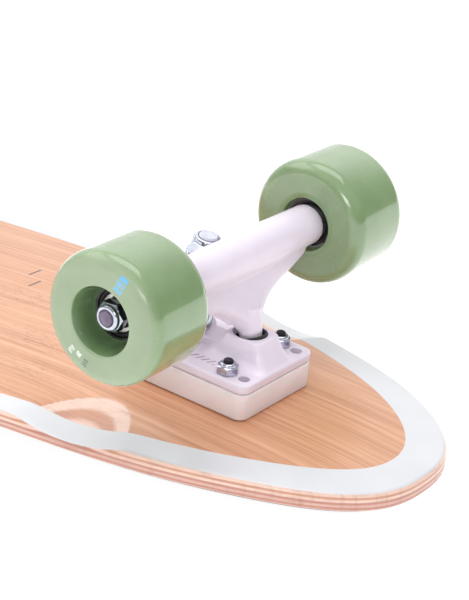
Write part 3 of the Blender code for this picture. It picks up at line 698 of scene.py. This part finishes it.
def paint_material(name, marked=False):
    """Powder coat: a fine orange peel over a lilac-tinted white, with plain dashes if marked."""
    recipe = Recipe(name, Coat_Weight=0.35, Coat_Roughness=0.18)
    peel = recipe.noise(recipe.even(900), detail=2.0)
    clouds = recipe.noise(recipe.even(45), detail=2.0)
    colour = recipe.mottled(clouds, (226, 215, 230), (232, 222, 236))
    if marked:
        x, y, z = recipe.axes()
        *ranges, pitch, share, lean = PLATE_DASHES
        slant = recipe.plus(x, recipe.times(y, lean))
        mask = recipe.both(*(recipe.within(value, *limits)
                             for value, limits in zip((x, y, z), ranges)),
                           recipe.bars(slant, pitch, share))
        colour = recipe.blend(mask, colour, srgb(128, 118, 136))
    recipe.drive("Base Color", colour)
    recipe.roughness(peel, 0.30, 0.42)
    recipe.bump(peel, 0.05, 0.35)
    return recipe.material


def riser_material():
    recipe = Recipe("riser_rubber", Subsurface_Weight=0.35, Subsurface_Scale=0.006)
    clouds = recipe.noise(recipe.stretched(60, 60, 90), detail=3.0)
    recipe.drive("Base Color", recipe.mottled(clouds, (236, 224, 227), (242, 230, 233)))
    fine = recipe.noise(recipe.even(1400), detail=2.0)
    recipe.roughness(fine, 0.42, 0.56)
    recipe.bump(fine, 0.04, 0.4)
    return recipe.material


def wheel_material():
    """Cast urethane: a glossy tread, paler matt faces with a painted sheen, small worn prints on
    the outer one, painted shade in the recess and bore.
    """
    recipe = Recipe("mint_urethane", Subsurface_Weight=0.25, Subsurface_Scale=0.006,
                    Coat_Roughness=0.02)
    recipe.shader.inputs["Subsurface Radius"].default_value = (0.8, 1.0, 0.8)
    clouds = recipe.noise(recipe.even(55), detail=3.0)
    tread = recipe.mottled(clouds, (120, 147, 102), (128, 155, 110))
    face = recipe.mottled(clouds, (150, 166, 136), (157, 173, 143))
    z = recipe.axes()[2]
    radius = recipe.radius()
    outer_side = recipe.above(z, 0.0)
    flat = recipe.both(recipe.spread(radius, *(edge * MM for edge in FACE_FADE)),
                       recipe.above(radius, WHEEL_RECESS_RADIUS * MM))
    # Paler faces: partly a matt finish, partly a painted sheen of the front light, full on the
    # outer face and weaker on the inner.
    matt_face_and_sheen = recipe.both(flat, recipe.spread(outer_side, 0.0, 1.0, 0.3, 1.0))
    colour = recipe.blend(matt_face_and_sheen, tread, face)

    on_face = recipe.within(z, WHEEL_HALF_WIDTH - 1.0, WHEEL_HALF_WIDTH + 1.0)
    worn = recipe.noise(recipe.even(900), detail=2.0)
    for direction, inner, outer, half_width, pitch, print_colour in WHEEL_PRINTS:
        along, across, _ = recipe.axes(recipe.turned(direction))
        mask = recipe.both(recipe.within(along, inner, outer),
                           recipe.within(across, -half_width, half_width),
                           recipe.bars(along, pitch, PRINT_SHARE), on_face,
                           recipe.above(worn, 0.40))
        colour = recipe.blend(mask, colour, print_colour)
    # Painted shade in the outer recess, darker towards its bottom.
    depths = recipe.both(outer_side, recipe.below(radius, WHEEL_RECESS_RADIUS * MM),
                         recipe.spread(z, WHEEL_HALF_WIDTH * MM, RECESS_SHADE_BOTTOM * MM, 0.0, 0.55))
    colour = recipe.blend(depths, colour, srgb(74, 104, 66))
    # Painted shadow: the bore and bearing seats go near-black as if in deep shade.
    seat_shade = recipe.below(radius, SEAT_SHADE_RADIUS * MM)
    recipe.drive("Base Color", recipe.blend(seat_shade, colour, srgb(28, 26, 30)))
    scuffs = recipe.noise(recipe.even(500), detail=2.0, rough=0.6)
    recipe.drive("Roughness", recipe.plus(recipe.spread(scuffs, 0.4, 0.8, 0.16, 0.22),
                                          recipe.times(matt_face_and_sheen, 0.25)))
    recipe.drive("Coat Weight", recipe.spread(matt_face_and_sheen, 0.0, 1.0, 1.0, 0.12))
    recipe.bump(scuffs, 0.004, 0.2)
    return recipe.material


def turned_metal(name, dark, light, low, high, metallic=1.0, race=False):
    """Metal with fine rings about its own axis; if asked, a painted dark reflection makes the outer
    race near-black.
    """
    recipe = Recipe(name, Metallic=metallic)
    rings = recipe.noise(recipe.times(recipe.radius(), TURNING_MARKS), detail=2.0)
    spots = recipe.noise(recipe.even(320), detail=3.0)
    colour = recipe.mottled(spots, dark, light)
    if race:
        # Painted dark reflection: the outer race turns near-black and less metallic.
        outer = recipe.above(recipe.radius(), RACE_RADIUS * MM)
        colour = recipe.blend(outer, colour, srgb(30, 26, 32))
        recipe.drive("Metallic", recipe.spread(outer, 0.0, 1.0, metallic, 0.3))
    recipe.drive("Base Color", colour)
    recipe.roughness(spots, low, high)
    recipe.bump(rings, 0.02, 0.3)
    return recipe.material


def moulded(name, dark, light, low, high, scatter=0.0):
    """Smooth moulded plastic or urethane with a faint grain."""
    recipe = Recipe(name, Subsurface_Weight=scatter, Subsurface_Scale=0.003)
    grain = recipe.noise(recipe.even(1100), detail=2.0)
    recipe.drive("Base Color", recipe.mottled(grain, dark, light))
    recipe.roughness(grain, low, high)
    recipe.bump(grain, 0.03, 0.3)
    return recipe.material


# ---------------------------------------------------------------- deck and grip tape

def underside_height(x, y):
    """The pressed underside's height over the level of its middle."""
    run = abs(x)
    slope = math.tan(END_ANGLE)
    drop = 0.0
    if run > BEND_END:
        drop = slope * (run - (BEND_START + BEND_END) / 2)
    elif run > BEND_START:
        drop = slope * (run - BEND_START) ** 2 / (2 * (BEND_END - BEND_START))
    if run > KICK_START:
        drop += (run - KICK_START) ** 2 / (2 * KICK_RADIUS)
    return -drop - concave_drop(y)


def concave_drop(y):
    reach = max(0.0, abs(y) - CONCAVE_FLAT) / (HALF_WIDTH - CONCAVE_FLAT)
    return CONCAVE_DEPTH * reach ** 2


def well_depth(x, y):
    """How far the well's tool reaches below the pressed surface; negative where it clears it."""
    place = TRUCK["nose" if x > 0 else "tail"]
    inner_y = WELL_EDGE_Y - WELL_REACH
    fall = WELL_EDGE_DEPTH + concave_drop(WELL_EDGE_Y) - concave_drop(inner_y)
    angle = math.atan2(fall, WELL_REACH)
    inverse = place.inverted()
    start = inverse @ Vector((x, y, 0.0))
    upright = inverse.to_3x3() @ Vector((0.0, 0.0, 1.0))
    side = math.copysign(1.0, start.y)
    along = Vector((0.0, side * math.cos(angle), -math.sin(angle)))
    lift = Vector((0.0, side * math.sin(angle), math.cos(angle)))
    bite = Vector((WELL_X, side * WELL_EDGE_Y, -concave_drop(WELL_EDGE_Y) - WELL_EDGE_DEPTH))
    reach = start - (bite + lift * WELL_RADIUS)
    reach -= along * reach.dot(along)
    upright -= along * upright.dot(along)
    square = upright.dot(upright)
    middle = reach.dot(upright)
    inside = middle ** 2 - square * (reach.dot(reach) - WELL_RADIUS ** 2)
    if inside <= 0.0:
        return NO_CUT
    height = (-middle - math.sqrt(inside)) / square
    return max(NO_CUT, DECK_TOP + underside_height(x, y) - height)


def outline(inset, share=1.0):
    """Points of the deck's outline, drawn in by an inset and scaled by a share."""
    return superellipse((HALF_LENGTH - inset) * share, (HALF_WIDTH - inset) * share,
                        OUTLINE_POWERS, OUTLINE_POINTS)


def deck_rows():
    """Loops from the middle of the underside, over the rounded edge, to the middle below."""
    rows = [[(0.0, 0.0, DECK_TOP)]]
    depths = [[0.0]]

    def add(points, height_at):
        row, depth_row = [], []
        for x, y in points:
            surface = DECK_TOP + underside_height(x, y)
            cut = well_depth(x, y)
            top = surface - max(0.0, cut)
            bottom = surface - DECK_THICKNESS
            height = height_at(top, bottom)
            row.append((x, y, height))
            depth_row.append(cut if height == top else surface - height)
        rows.append(row)
        depths.append(depth_row)

    def edge(turn, rising):
        inset = BULLNOSE * (1.0 - math.sin(turn))

        def height(top, bottom):
            radius = min(BULLNOSE, 0.45 * (top - bottom))
            gap = radius * (1.0 - math.cos(turn))
            return top - gap if rising else bottom + gap
        add(outline(inset), height)

    for ring in range(1, TOP_RINGS + 1):
        add(outline(BULLNOSE, ring / TOP_RINGS), lambda top, bottom: top)
    turns = [QUARTER * step / ROUNDING_STEPS for step in range(1, ROUNDING_STEPS + 1)]
    for turn in turns:
        edge(turn, True)
    for turn in reversed(turns):
        edge(turn, False)
    for ring in range(BOTTOM_RINGS, 0, -1):
        add(outline(BULLNOSE, ring / BOTTOM_RINGS), lambda top, bottom: bottom)
    rows.append([(0.0, 0.0, DECK_TOP - DECK_THICKNESS)])
    depths.append([DECK_THICKNESS])
    return rows, [value for row in depths for value in row]


def bolt_spots(rows=BOLT_ROWS):
    return [(row, side * BOLT_Y) for row in rows for side in (-1, 1)]


def sink():
    """The cone that a bolt's head is sunk in, widened below the deck."""
    wide = BOLT_HEAD_RADIUS + CONTACT_GAP
    narrow = BOLT_RADIUS + CONTACT_GAP
    return skin([circle(wide + SINK_OVERRUN, -DECK_THICKNESS - SINK_OVERRUN, ROD_SEGMENTS),
                 circle(narrow, wide - narrow - DECK_THICKNESS, ROD_SEGMENTS)])


def drilled_at_trucks(made, draw_tools):
    """A mesh with the drawn tools cut out of it at both trucks."""
    item = scratch_object(made)
    tools = [scratch_object(tool, place) for place in TRUCK.values() for tool in draw_tools()]
    for tool in tools:
        combine(item, tool, "DIFFERENCE")
    return baked(item, *tools)


def build_deck(material):
    rows, depths = deck_rows()
    made = skin(rows)
    layer = made.verts.layers.float.new("depth")
    for vert, depth in zip(made.verts, depths):
        vert[layer] = depth
    drilled = drilled_at_trucks(made, lambda: (rods(BOLT_HOLE_RADIUS, bolt_spots(), -20.0, 8.0),
                                               repeated(sink, bolt_spots())))
    stand_in("deck", drilled, material)


def build_grip(material):
    """The tape: a thin sheet under the deck, with a hole round each bolt head."""
    top = DECK_TOP - DECK_THICKNESS - CONTACT_GAP
    rows = [[(0.0, 0.0, top)]]
    shares = [ring / BOTTOM_RINGS for ring in range(1, BOTTOM_RINGS + 1)]
    for level, order in ((top, shares), (top - GRIP_SHOWN, shares[::-1])):
        for share in order:
            rows.append([(x, y, level + underside_height(x, y))
                         for x, y in outline(GRIP_INSET, share)])
    rows.append([(0.0, 0.0, top - GRIP_SHOWN)])
    drilled = drilled_at_trucks(skin(rows), lambda: (
        rods(BOLT_HEAD_RADIUS + CONTACT_GAP, bolt_spots(), -20.0, -5.0),))
    stand_in("grip_tape", drilled, material)


# ---------------------------------------------------------------- truck meshes

def base_block(bottom, top):
    return block((BASE_CENTRE_X - BASE_LENGTH / 2, -BASE_WIDTH / 2, bottom),
                 (BASE_CENTRE_X + BASE_LENGTH / 2, BASE_WIDTH / 2, top), BASE_CORNER)


def riser_mesh():
    made = base_block(CONTACT_GAP, RISER_TOP)
    rims = [edge for edge in made.edges
            if abs(edge.verts[0].co.z - edge.verts[1].co.z) < 0.01]
    bmesh.ops.bevel(made, geom=rims, offset=0.6, segments=3, profile=0.5, affect="EDGES")
    return carved(made, [rods(BOLT_HOLE_RADIUS, bolt_spots(ALL_ROWS), -5, 20)])


def hump_mesh():
    """The pivot's housing: broad at the flange and narrow at the cup, with flat flanks."""
    sections = ((FLANGE_BOTTOM + FLANGE_OVERLAP, 13.8, 17.8, 15.0), (18.4, 13.8, 17.2, 14.6),
                (19.2, 13.9, 16.4, 12.8), (21.0, 14.2, 14.9, 11.2), (25.0, 14.3, 12.3, 9.8),
                (28.8, 14.2, 10.4, 9.3), (29.9, 14.1, 9.9, 9.1))
    return skin([[(middle + x, y, height)
                  for x, y in superellipse(half_x, half_y, HUMP_POWERS, HUMP_POINTS)]
                 for height, middle, half_x, half_y in sections])


def baseplate_mesh():
    """The flange with the kingpin's boss, the pivot's hump and a rib between them."""
    inside = FLANGE_BOTTOM + FLANGE_OVERLAP
    boss_x = RING_CENTRE.x + SEAT_K * math.sin(KINGPIN_LEAN)
    boss = moved(skin([circle(15.0, inside), circle(13.5, 30.0)]),
                 Matrix.Translation((boss_x, 0, 0)))
    over_seat = moved(block((-30, -25, SEAT_K), (16.5, 25, 5)), KINGPIN)
    rib = block((-22, -7, inside), (8, 7, 22.8))
    bore = moved(lathe([(0, 16.0), (8.3, 16.0), (8.0, 8.6), (7.3, -3.0), (5.5, -6.9), (0, -6.9)],
                       ease=0.01), PIVOT)
    return carved(base_block(FLANGE_BOTTOM, FLANGE_TOP), cast=True,
                  joins=[redrawn(carved(boss, [over_seat])), hump_mesh(), rib],
                  cuts=[moved(rod(5.2, -40, 5), KINGPIN), moved(rod(8.4, -40, -22.9), KINGPIN),
                        bore, rods(BOLT_HOLE_RADIUS, bolt_spots(ALL_ROWS), 8, 28)])


def web_mesh():
    """The web's sections from inside the arms down its slope to the pivot stem."""
    levels = ((60.0, 54.0, 4.4), (55.0, 56.5, 3.8), (51.5, 51.0, 3.8), (48.3, 40.0, 3.8),
              (45.8, 28.5, 4.0), (43.4, 20.5, 4.4), (41.0, 15.5, 5.0), (38.0, 10.6, 5.6),
              (34.8, 7.6, 5.8), (32.6, 6.2, 5.6))
    across = Vector((math.cos(WEB_SLOPE), 0.0, math.sin(WEB_SLOPE)))
    rows = []
    for height, half_width, half_depth in levels:
        middle = Vector(((AXLE_HEIGHT - height) * math.tan(WEB_SLOPE), 0.0, height))
        rows.append([middle + Vector((0, y, 0)) + across * depth
                     for y, depth in superellipse(half_width, half_depth, WEB_POWERS)])
    return skin(rows)


def hanger_mesh():
    """Arms, web, pivot stem and ring, cast in one and bored for the kingpin and the axle."""
    half = HANGER_HALF_LENGTH
    arms = moved(lathe([(0, half), (9.0, half), (9.7, half - 0.7), (10.5, 12.0), (10.5, -12.0),
                        (9.7, 0.7 - half), (9.0, -half), (0, -half)], ease=0.3), axle_frame())
    stem = moved(lathe([(0, 21.0), (6.6, 21.0), (5.7, 10.6),
                        *arc(PIVOT_BALL_RADIUS, 30, -90, SOCKET_STEPS)], ease=0.01), PIVOT)
    bridge = moved(block((5, -10, -4.5), (29, 10, 5.0)), KINGPIN)
    pocket = moved(block((-40, -13.2, 6.5), (9.4, 13.2, 60)), KINGPIN)
    body = redrawn(carved(arms, joins=[web_mesh(), stem, bridge], cuts=[pocket]))
    ball = moved(lathe(arc(RING_BALL_RADIUS, 90, -90, BALL_STEPS), ease=0.01), KINGPIN)
    return carved(body, joins=[ball], cast=True,
                  cuts=[moved(rod(6.9, -20, 20), KINGPIN),
                        moved(rod(AXLE_RADIUS + CONTACT_GAP, -80, 80), axle_frame())])


def lock_nut_mesh(width, height, hole, collar):
    """A lock nut: a hexagon chamfered by a cone, with a rolled collar on top."""
    corner = corner_radius(width)
    shoulder = 0.74 * height
    cone = lathe([(0, 0), (corner - 0.35, 0), (corner + 0.2, 0.45), (corner + 0.2, shoulder - 0.9),
                  (width / 2 - 0.25, shoulder), (0, shoulder)], ease=0.01,
                 segments=CHAMFER_SEGMENTS)
    ring = lathe([(0, shoulder - 0.5), (collar + 0.5, shoulder - 0.5), (collar + 0.1, shoulder),
                  (collar, height - 0.5), (collar - 0.8, height), (0, height)], ease=0.45)
    item = scratch_object(prism(width, 0, shoulder))
    others = [scratch_object(cone), scratch_object(ring),
              scratch_object(rod(hole, -1, height + 1, TURNED_SEGMENTS))]
    for other, operation in zip(others, ("INTERSECT", "UNION", "DIFFERENCE")):
        combine(item, other, operation)
    return baked(item, *others)


def ring_mesh(inner, outer, bottom, top, ease):
    return carved(lathe([(inner, top), (outer, top), (outer, bottom), (inner, bottom)], ease,
                       closed=True))


def nut_and_insert(nut, insert):
    """A lock nut and the nylon ring pressed into its collar."""
    return lock_nut_mesh(*nut), ring_mesh(*insert, ease=0.15)


def mounting_bolt_mesh():
    """A countersunk socket screw with a threaded end."""
    cone_top = HEAD_EDGE + BOLT_HEAD_RADIUS - BOLT_RADIUS
    head = lathe([(0, BOLT_END - 9), (BOLT_RADIUS - 0.3, BOLT_END - 9),
                  (BOLT_RADIUS - 0.3, cone_top), (BOLT_HEAD_RADIUS, HEAD_EDGE),
                  (BOLT_HEAD_RADIUS, HEAD_BOTTOM), (0, HEAD_BOTTOM)], ease=0.12)
    thread = threaded_rod(BOLT_RADIUS, *BOLT_THREAD, BOLT_END - 10, BOLT_END, 0.5)
    socket = prism(SOCKET_WIDTH, HEAD_BOTTOM - 1, HEAD_BOTTOM + SOCKET_DEPTH)
    return carved(head, joins=[thread], cuts=[socket])


# ---------------------------------------------------------------- wheel and bearing meshes

def wheel_mesh():
    half = WHEEL_HALF_WIDTH
    shoulder = WHEEL_RADIUS - WHEEL_LIP
    seat = BEARING_OFFSET + BEARING_HALF + CONTACT_GAP
    step = BEARING_OFFSET - BEARING_HALF - CONTACT_GAP
    profile = [*rounded([(12.3, BEARING_MIDDLE + seat), (13.2, BEARING_MIDDLE + seat + 1.4),
                         (WHEEL_RECESS_RADIUS, half), (WHEEL_RECESS_RADIUS + 4, half)], 1.3,
                        steps=6),
               *arc(WHEEL_LIP, 90, 0, LIP_STEPS, (shoulder, half - WHEEL_LIP)),
               *arc(WHEEL_LIP, 0, -90, LIP_STEPS, (shoulder, WHEEL_LIP - half)),
               *rounded([(WHEEL_HUB_RADIUS + 3, -half), (WHEEL_HUB_RADIUS - 0.3, -half),
                         (12.6, BEARING_MIDDLE - seat), (SEAT_RADIUS, BEARING_MIDDLE - seat)], 0.6),
               (SEAT_RADIUS, BEARING_MIDDLE - step), (SHOULDER_RADIUS, BEARING_MIDDLE - step),
               (SHOULDER_RADIUS, BEARING_MIDDLE + step), (SEAT_RADIUS, BEARING_MIDDLE + step),
               (SEAT_RADIUS, BEARING_MIDDLE + seat)]
    return carved(skin([circle(radius, height, WHEEL_SEGMENTS) for radius, height in profile],
                      closed=True))


def bearing_mesh(facing):
    """The outer race with its pressed-in shield; the shield faces the given way."""
    middle = BEARING_MIDDLE + facing * BEARING_OFFSET
    half = BEARING_HALF
    profile = [(9.4, -half), (9.4, half - 1.0), (6.5, half - 1.0), (6.5, half - 0.55),
               (7.4, half - 0.25), (8.9, half - 0.25), (9.2, half - 0.6), (9.5, half - 0.6),
               (9.7, half), (BEARING_RADIUS, half), (BEARING_RADIUS, -half)]
    placed = [(radius, middle + facing * height) for radius, height in profile]
    return carved(lathe(placed, ease=0.16, closed=True))


def sleeve_mesh():
    """Two inner races with their built-in spacer and end washers."""
    start = BEARING_OFFSET - BEARING_HALF
    end = BEARING_OFFSET + BEARING_HALF
    upper = [(4.35, SLEEVE_HALF), (5.6, SLEEVE_HALF), (5.6, end + 0.15), (5.2, end + 0.1),
             (5.2, end), (6.1, end), (6.1, start), (5.4, start)]
    lower = [(radius, -height) for radius, height in reversed(upper)]
    placed = [(radius, BEARING_MIDDLE + height) for radius, height in upper + lower]
    return carved(lathe(placed, ease=0.12, closed=True))


def axle_mesh():
    """A rod threaded at both ends."""
    reach = AXLE_HALF - 11.0
    core = lathe([(0, reach), (AXLE_RADIUS, reach), (AXLE_RADIUS, -reach), (0, -reach)], ease=0.1)
    ends = [threaded_rod(AXLE_RADIUS, *COARSE_THREAD, reach - 1, AXLE_HALF, 0.7)
            for _ in range(2)]
    moved(ends[1], Matrix.Rotation(math.pi, 4, "X"))
    return carved(core, joins=ends)


# ---------------------------------------------------------------- kingpin stack meshes

def kingpin_mesh():
    """A bolt whose head sits under the baseplate, threaded at the nut's end."""
    bottom, neck = KINGPIN_HEAD
    shank = lathe([(0, 12.0), (KINGPIN_RADIUS, 12.0), (KINGPIN_RADIUS, neck),
                   (KINGPIN_HEAD_RADIUS, neck), (KINGPIN_HEAD_RADIUS, bottom), (0, bottom)],
                  ease=0.3)
    thread = threaded_rod(KINGPIN_RADIUS, *COARSE_THREAD, 11.0, KINGPIN_END, 0.8)
    return carved(shank, joins=[thread])


def bushing_mesh(end_radius, lip, end_height, side):
    """A bushing with a dished face towards the ring and a faint waist."""
    outer = math.degrees(math.acos(lip / BUSHING_SEAT_RADIUS))
    inner = math.degrees(math.acos(STACK_BORE / BUSHING_SEAT_RADIUS))
    face = arc(BUSHING_SEAT_RADIUS, side * outer, side * inner, SOCKET_STEPS)
    profile = [(STACK_BORE, end_height), (end_radius, end_height), *face]
    return carved(lathe(profile, ease=0.35, closed=True))


def cup_mesh():
    socket = arc(PIVOT_BALL_RADIUS + CONTACT_GAP, 0, -90, SOCKET_STEPS)
    return carved(lathe([(0, -6.6), (5.2, -6.6), (7.0, -3.0), (7.7, 8.6), (7.1, 8.6), *socket]))


# ---------------------------------------------------------------- assembly

def build_trucks(look):
    riser = riser_mesh()
    plate = baseplate_mesh()
    hanger = hanger_mesh()
    bolt = mounting_bolt_mesh()
    bolt_nut = nut_and_insert(BOLT_NUT, BOLT_INSERT)
    kingpin = kingpin_mesh()
    kingpin_nut = nut_and_insert(KINGPIN_NUT, KINGPIN_INSERT)
    cup = cup_mesh()
    washers = {where: ring_mesh(STACK_BORE, *size, ease=0.4) for where, size in WASHERS.items()}
    bushings = {where: bushing_mesh(*size) for where, size in BUSHINGS.items()}
    axle = axle_mesh()
    wheel = wheel_mesh()
    bearings = {"outboard": bearing_mesh(1), "inboard": bearing_mesh(-1)}
    sleeve = sleeve_mesh()
    axle_nut = nut_and_insert(AXLE_NUT, AXLE_INSERT)

    def show_nut(node, meshes, place, height, insert_look):
        raised = place @ Matrix.Translation((0, 0, height))
        stand_in(node, meshes[0], look["chrome"], raised)
        stand_in(node, meshes[1], look[insert_look], raised, "insert", False)

    for end, place in TRUCK.items():
        stand_in(end + "_riser_pad", riser, look["riser"], place)
        stand_in(end + "_baseplate", plate, look["plate"], place)
        stand_in(end + "_hanger", hanger, look["paint"], place)
        stand_in(end + "_pivot_cup", cup, look["black"], place @ PIVOT)
        pin = place @ KINGPIN
        stand_in(end + "_kingpin", kingpin, look["pin"], pin)
        show_nut(end + "_kingpin_nut", kingpin_nut, pin, NUT_SEAT, "black")
        for where in WASHERS:
            stand_in(f"{end}_{where}_washer", washers[where], look["chrome"], pin)
            stand_in(f"{end}_{where}_bushing", bushings[where], look["bushing"], pin)
        for number, (x, y) in enumerate(bolt_spots(), 1):
            spot = place @ Matrix.Translation((x, y, 0))
            stand_in(f"{end}_mounting_bolt_{number}", bolt, look["oxide"], spot)
            show_nut(f"{end}_mounting_nut_{number}", bolt_nut, spot, FLANGE_TOP + CONTACT_GAP,
                     "nylon")
        stand_in(end + "_axle", axle, look["axle"], axle_spot(place))
        for side in (1, -1):
            label = end + ("_left" if side * END_SIGN[end] > 0 else "_right")
            hub = axle_spot(place, WHEEL_Y, side)
            stand_in(label + "_wheel", wheel, look["urethane"], hub)
            for where, mesh in bearings.items():
                stand_in(f"{label}_{where}_bearing", mesh, look["bearing"], hub)
            stand_in(label + "_bearing_sleeve", sleeve, look["steel"], hub)
            show_nut(label + "_axle_nut", axle_nut, hub,
                     BEARING_MIDDLE + SLEEVE_HALF + CONTACT_GAP, "nylon")


TABLE_HALF = 6.0
TABLE_GLOW = 0.92
# Brightness of the room by the sine of the angle above the table
SKY = ((0.0, 0.24), (0.30, 0.28), (0.55, 0.70), (1.0, 1.05))
# Direction of the lit backdrop, its spread as cosines, and its brightness
BACKDROP = (-0.59, 0.81, 0.15)
BACKDROP_SPREAD = (0.45, 0.85)
BACKDROP_LEVEL = 1.0
# Place, aim, width in metres and power in watts of each soft box
LAMPS = (("top", (0.1, 0.1, 2.5), (0.15, 0.0, 0.0), 2.4, 25.0),
         ("front", (1.1, -2.0, 0.9), (0.25, 0.0, 0.05), 0.8, 11.0),
         ("left", (-1.5, -0.7, 1.7), (0.0, 0.0, 0.03), 2.0, 13.0))
LAMP_ASPECT = 0.6
CAMERA_SPOT = (0.80761, -0.78149, 0.46527)
CAMERA_TURN = (67.389, -1.739, 36.23)
FOCAL_LENGTH = 135.631
SENSOR_WIDTH = 36.0


def build_room():
    """A room that is brighter overhead and towards one lit backdrop."""
    world = bpy.data.worlds.new("studio")
    bpy.context.scene.world = world
    room = Graph(world)
    place = room.node("ShaderNodeTexCoord").outputs["Generated"]
    height = room.node("ShaderNodeSeparateXYZ", {0: place}).outputs[2]
    back = room.tree.nodes["Background"]
    room.feed(back.inputs["Color"], room.ramp(
        height, [(position, (level, level, level, 1.0)) for position, level in SKY]))
    room.feed(back.inputs["Strength"], 1.0)
    facing = room.node("ShaderNodeVectorMath", {0: place, 1: Vector(BACKDROP).normalized()},
                       operation="DOT_PRODUCT").outputs["Value"]
    glow = room.spread(facing, *BACKDROP_SPREAD, 0.0, BACKDROP_LEVEL,
                       interpolation_type="SMOOTHSTEP")
    wall = room.node("ShaderNodeBackground", {"Strength": glow})
    both = room.node("ShaderNodeAddShader", {0: back.outputs[0], 1: wall.outputs[0]})
    room.feed(room.tree.nodes["World Output"].inputs["Surface"], both.outputs[0])


def build_stage():
    """A lit white table, soft studio light, and a camera at a three-quarter view from above."""
    made = bmesh.new()
    bmesh.ops.create_grid(made, x_segments=8, y_segments=8, size=TABLE_HALF)
    mesh = bpy.data.meshes.new("floor")
    made.to_mesh(mesh)
    made.free()
    floor = new_object("floor", mesh)
    recipe = Recipe("lit_white_table", Roughness=0.9, Specular_IOR_Level=0.1,
                    Emission_Strength=TABLE_GLOW)
    paper = recipe.noise(recipe.even(3))
    recipe.drive("Base Color", recipe.ramp(paper, [(0.3, srgb(176, 176, 176)),
                                                   (0.7, srgb(180, 180, 180))]))
    recipe.shader.inputs["Emission Color"].default_value = (1.0, 1.0, 1.0, 1.0)
    mesh.materials.append(recipe.material)

    build_room()
    for name, spot, aim, size, power in LAMPS:
        lamp = bpy.data.lights.new(name, "AREA")
        lamp.shape = "RECTANGLE"
        lamp.size = size
        lamp.size_y = size * LAMP_ASPECT
        lamp.energy = power
        item = new_object(name, lamp)
        item.location = spot
        item.rotation_euler = (Vector(aim) - Vector(spot)).to_track_quat("-Z", "Y").to_euler()

    lens = bpy.data.cameras.new("camera")
    lens.lens = FOCAL_LENGTH
    lens.sensor_width = SENSOR_WIDTH
    camera = new_object("camera", lens)
    camera.location = CAMERA_SPOT
    camera.rotation_euler = tuple(math.radians(turn) for turn in CAMERA_TURN)
    bpy.context.scene.camera = camera
    bpy.context.scene.view_settings.view_transform = "Standard"


def main():
    look = {
        "paint": paint_material("powder_coat"),
        "plate": paint_material("powder_coat_marked", marked=True),
        "riser": riser_material(),
        "urethane": wheel_material(),
        "steel": turned_metal("turned_steel", (150, 150, 156), (190, 190, 196), 0.22, 0.36),
        "chrome": turned_metal("bright_zinc", (172, 176, 190), (204, 207, 219), 0.08, 0.2),
        "pin": turned_metal("kingpin_steel", (196, 198, 212), (212, 214, 226), 0.42, 0.55, 0.4),
        "bearing": turned_metal("bearing_steel", (176, 172, 170), (208, 204, 202), 0.24, 0.36,
                                race=True),
        "axle": turned_metal("axle_steel", (106, 94, 114), (134, 122, 142), 0.42, 0.55, 0.5),
        "oxide": turned_metal("black_oxide", (34, 30, 38), (58, 52, 62), 0.3, 0.45, 0.6),
        "bushing": moulded("bushing_urethane", (226, 226, 220), (240, 240, 235), 0.4, 0.5, 0.25),
        "nylon": moulded("nylon", (196, 190, 202), (214, 208, 220), 0.4, 0.55),
        "black": moulded("black_plastic", (24, 24, 25), (34, 34, 36), 0.45, 0.6),
    }
    build_deck(deck_material())
    build_grip(grip_material())
    build_trucks(look)
    build_stage()


main()
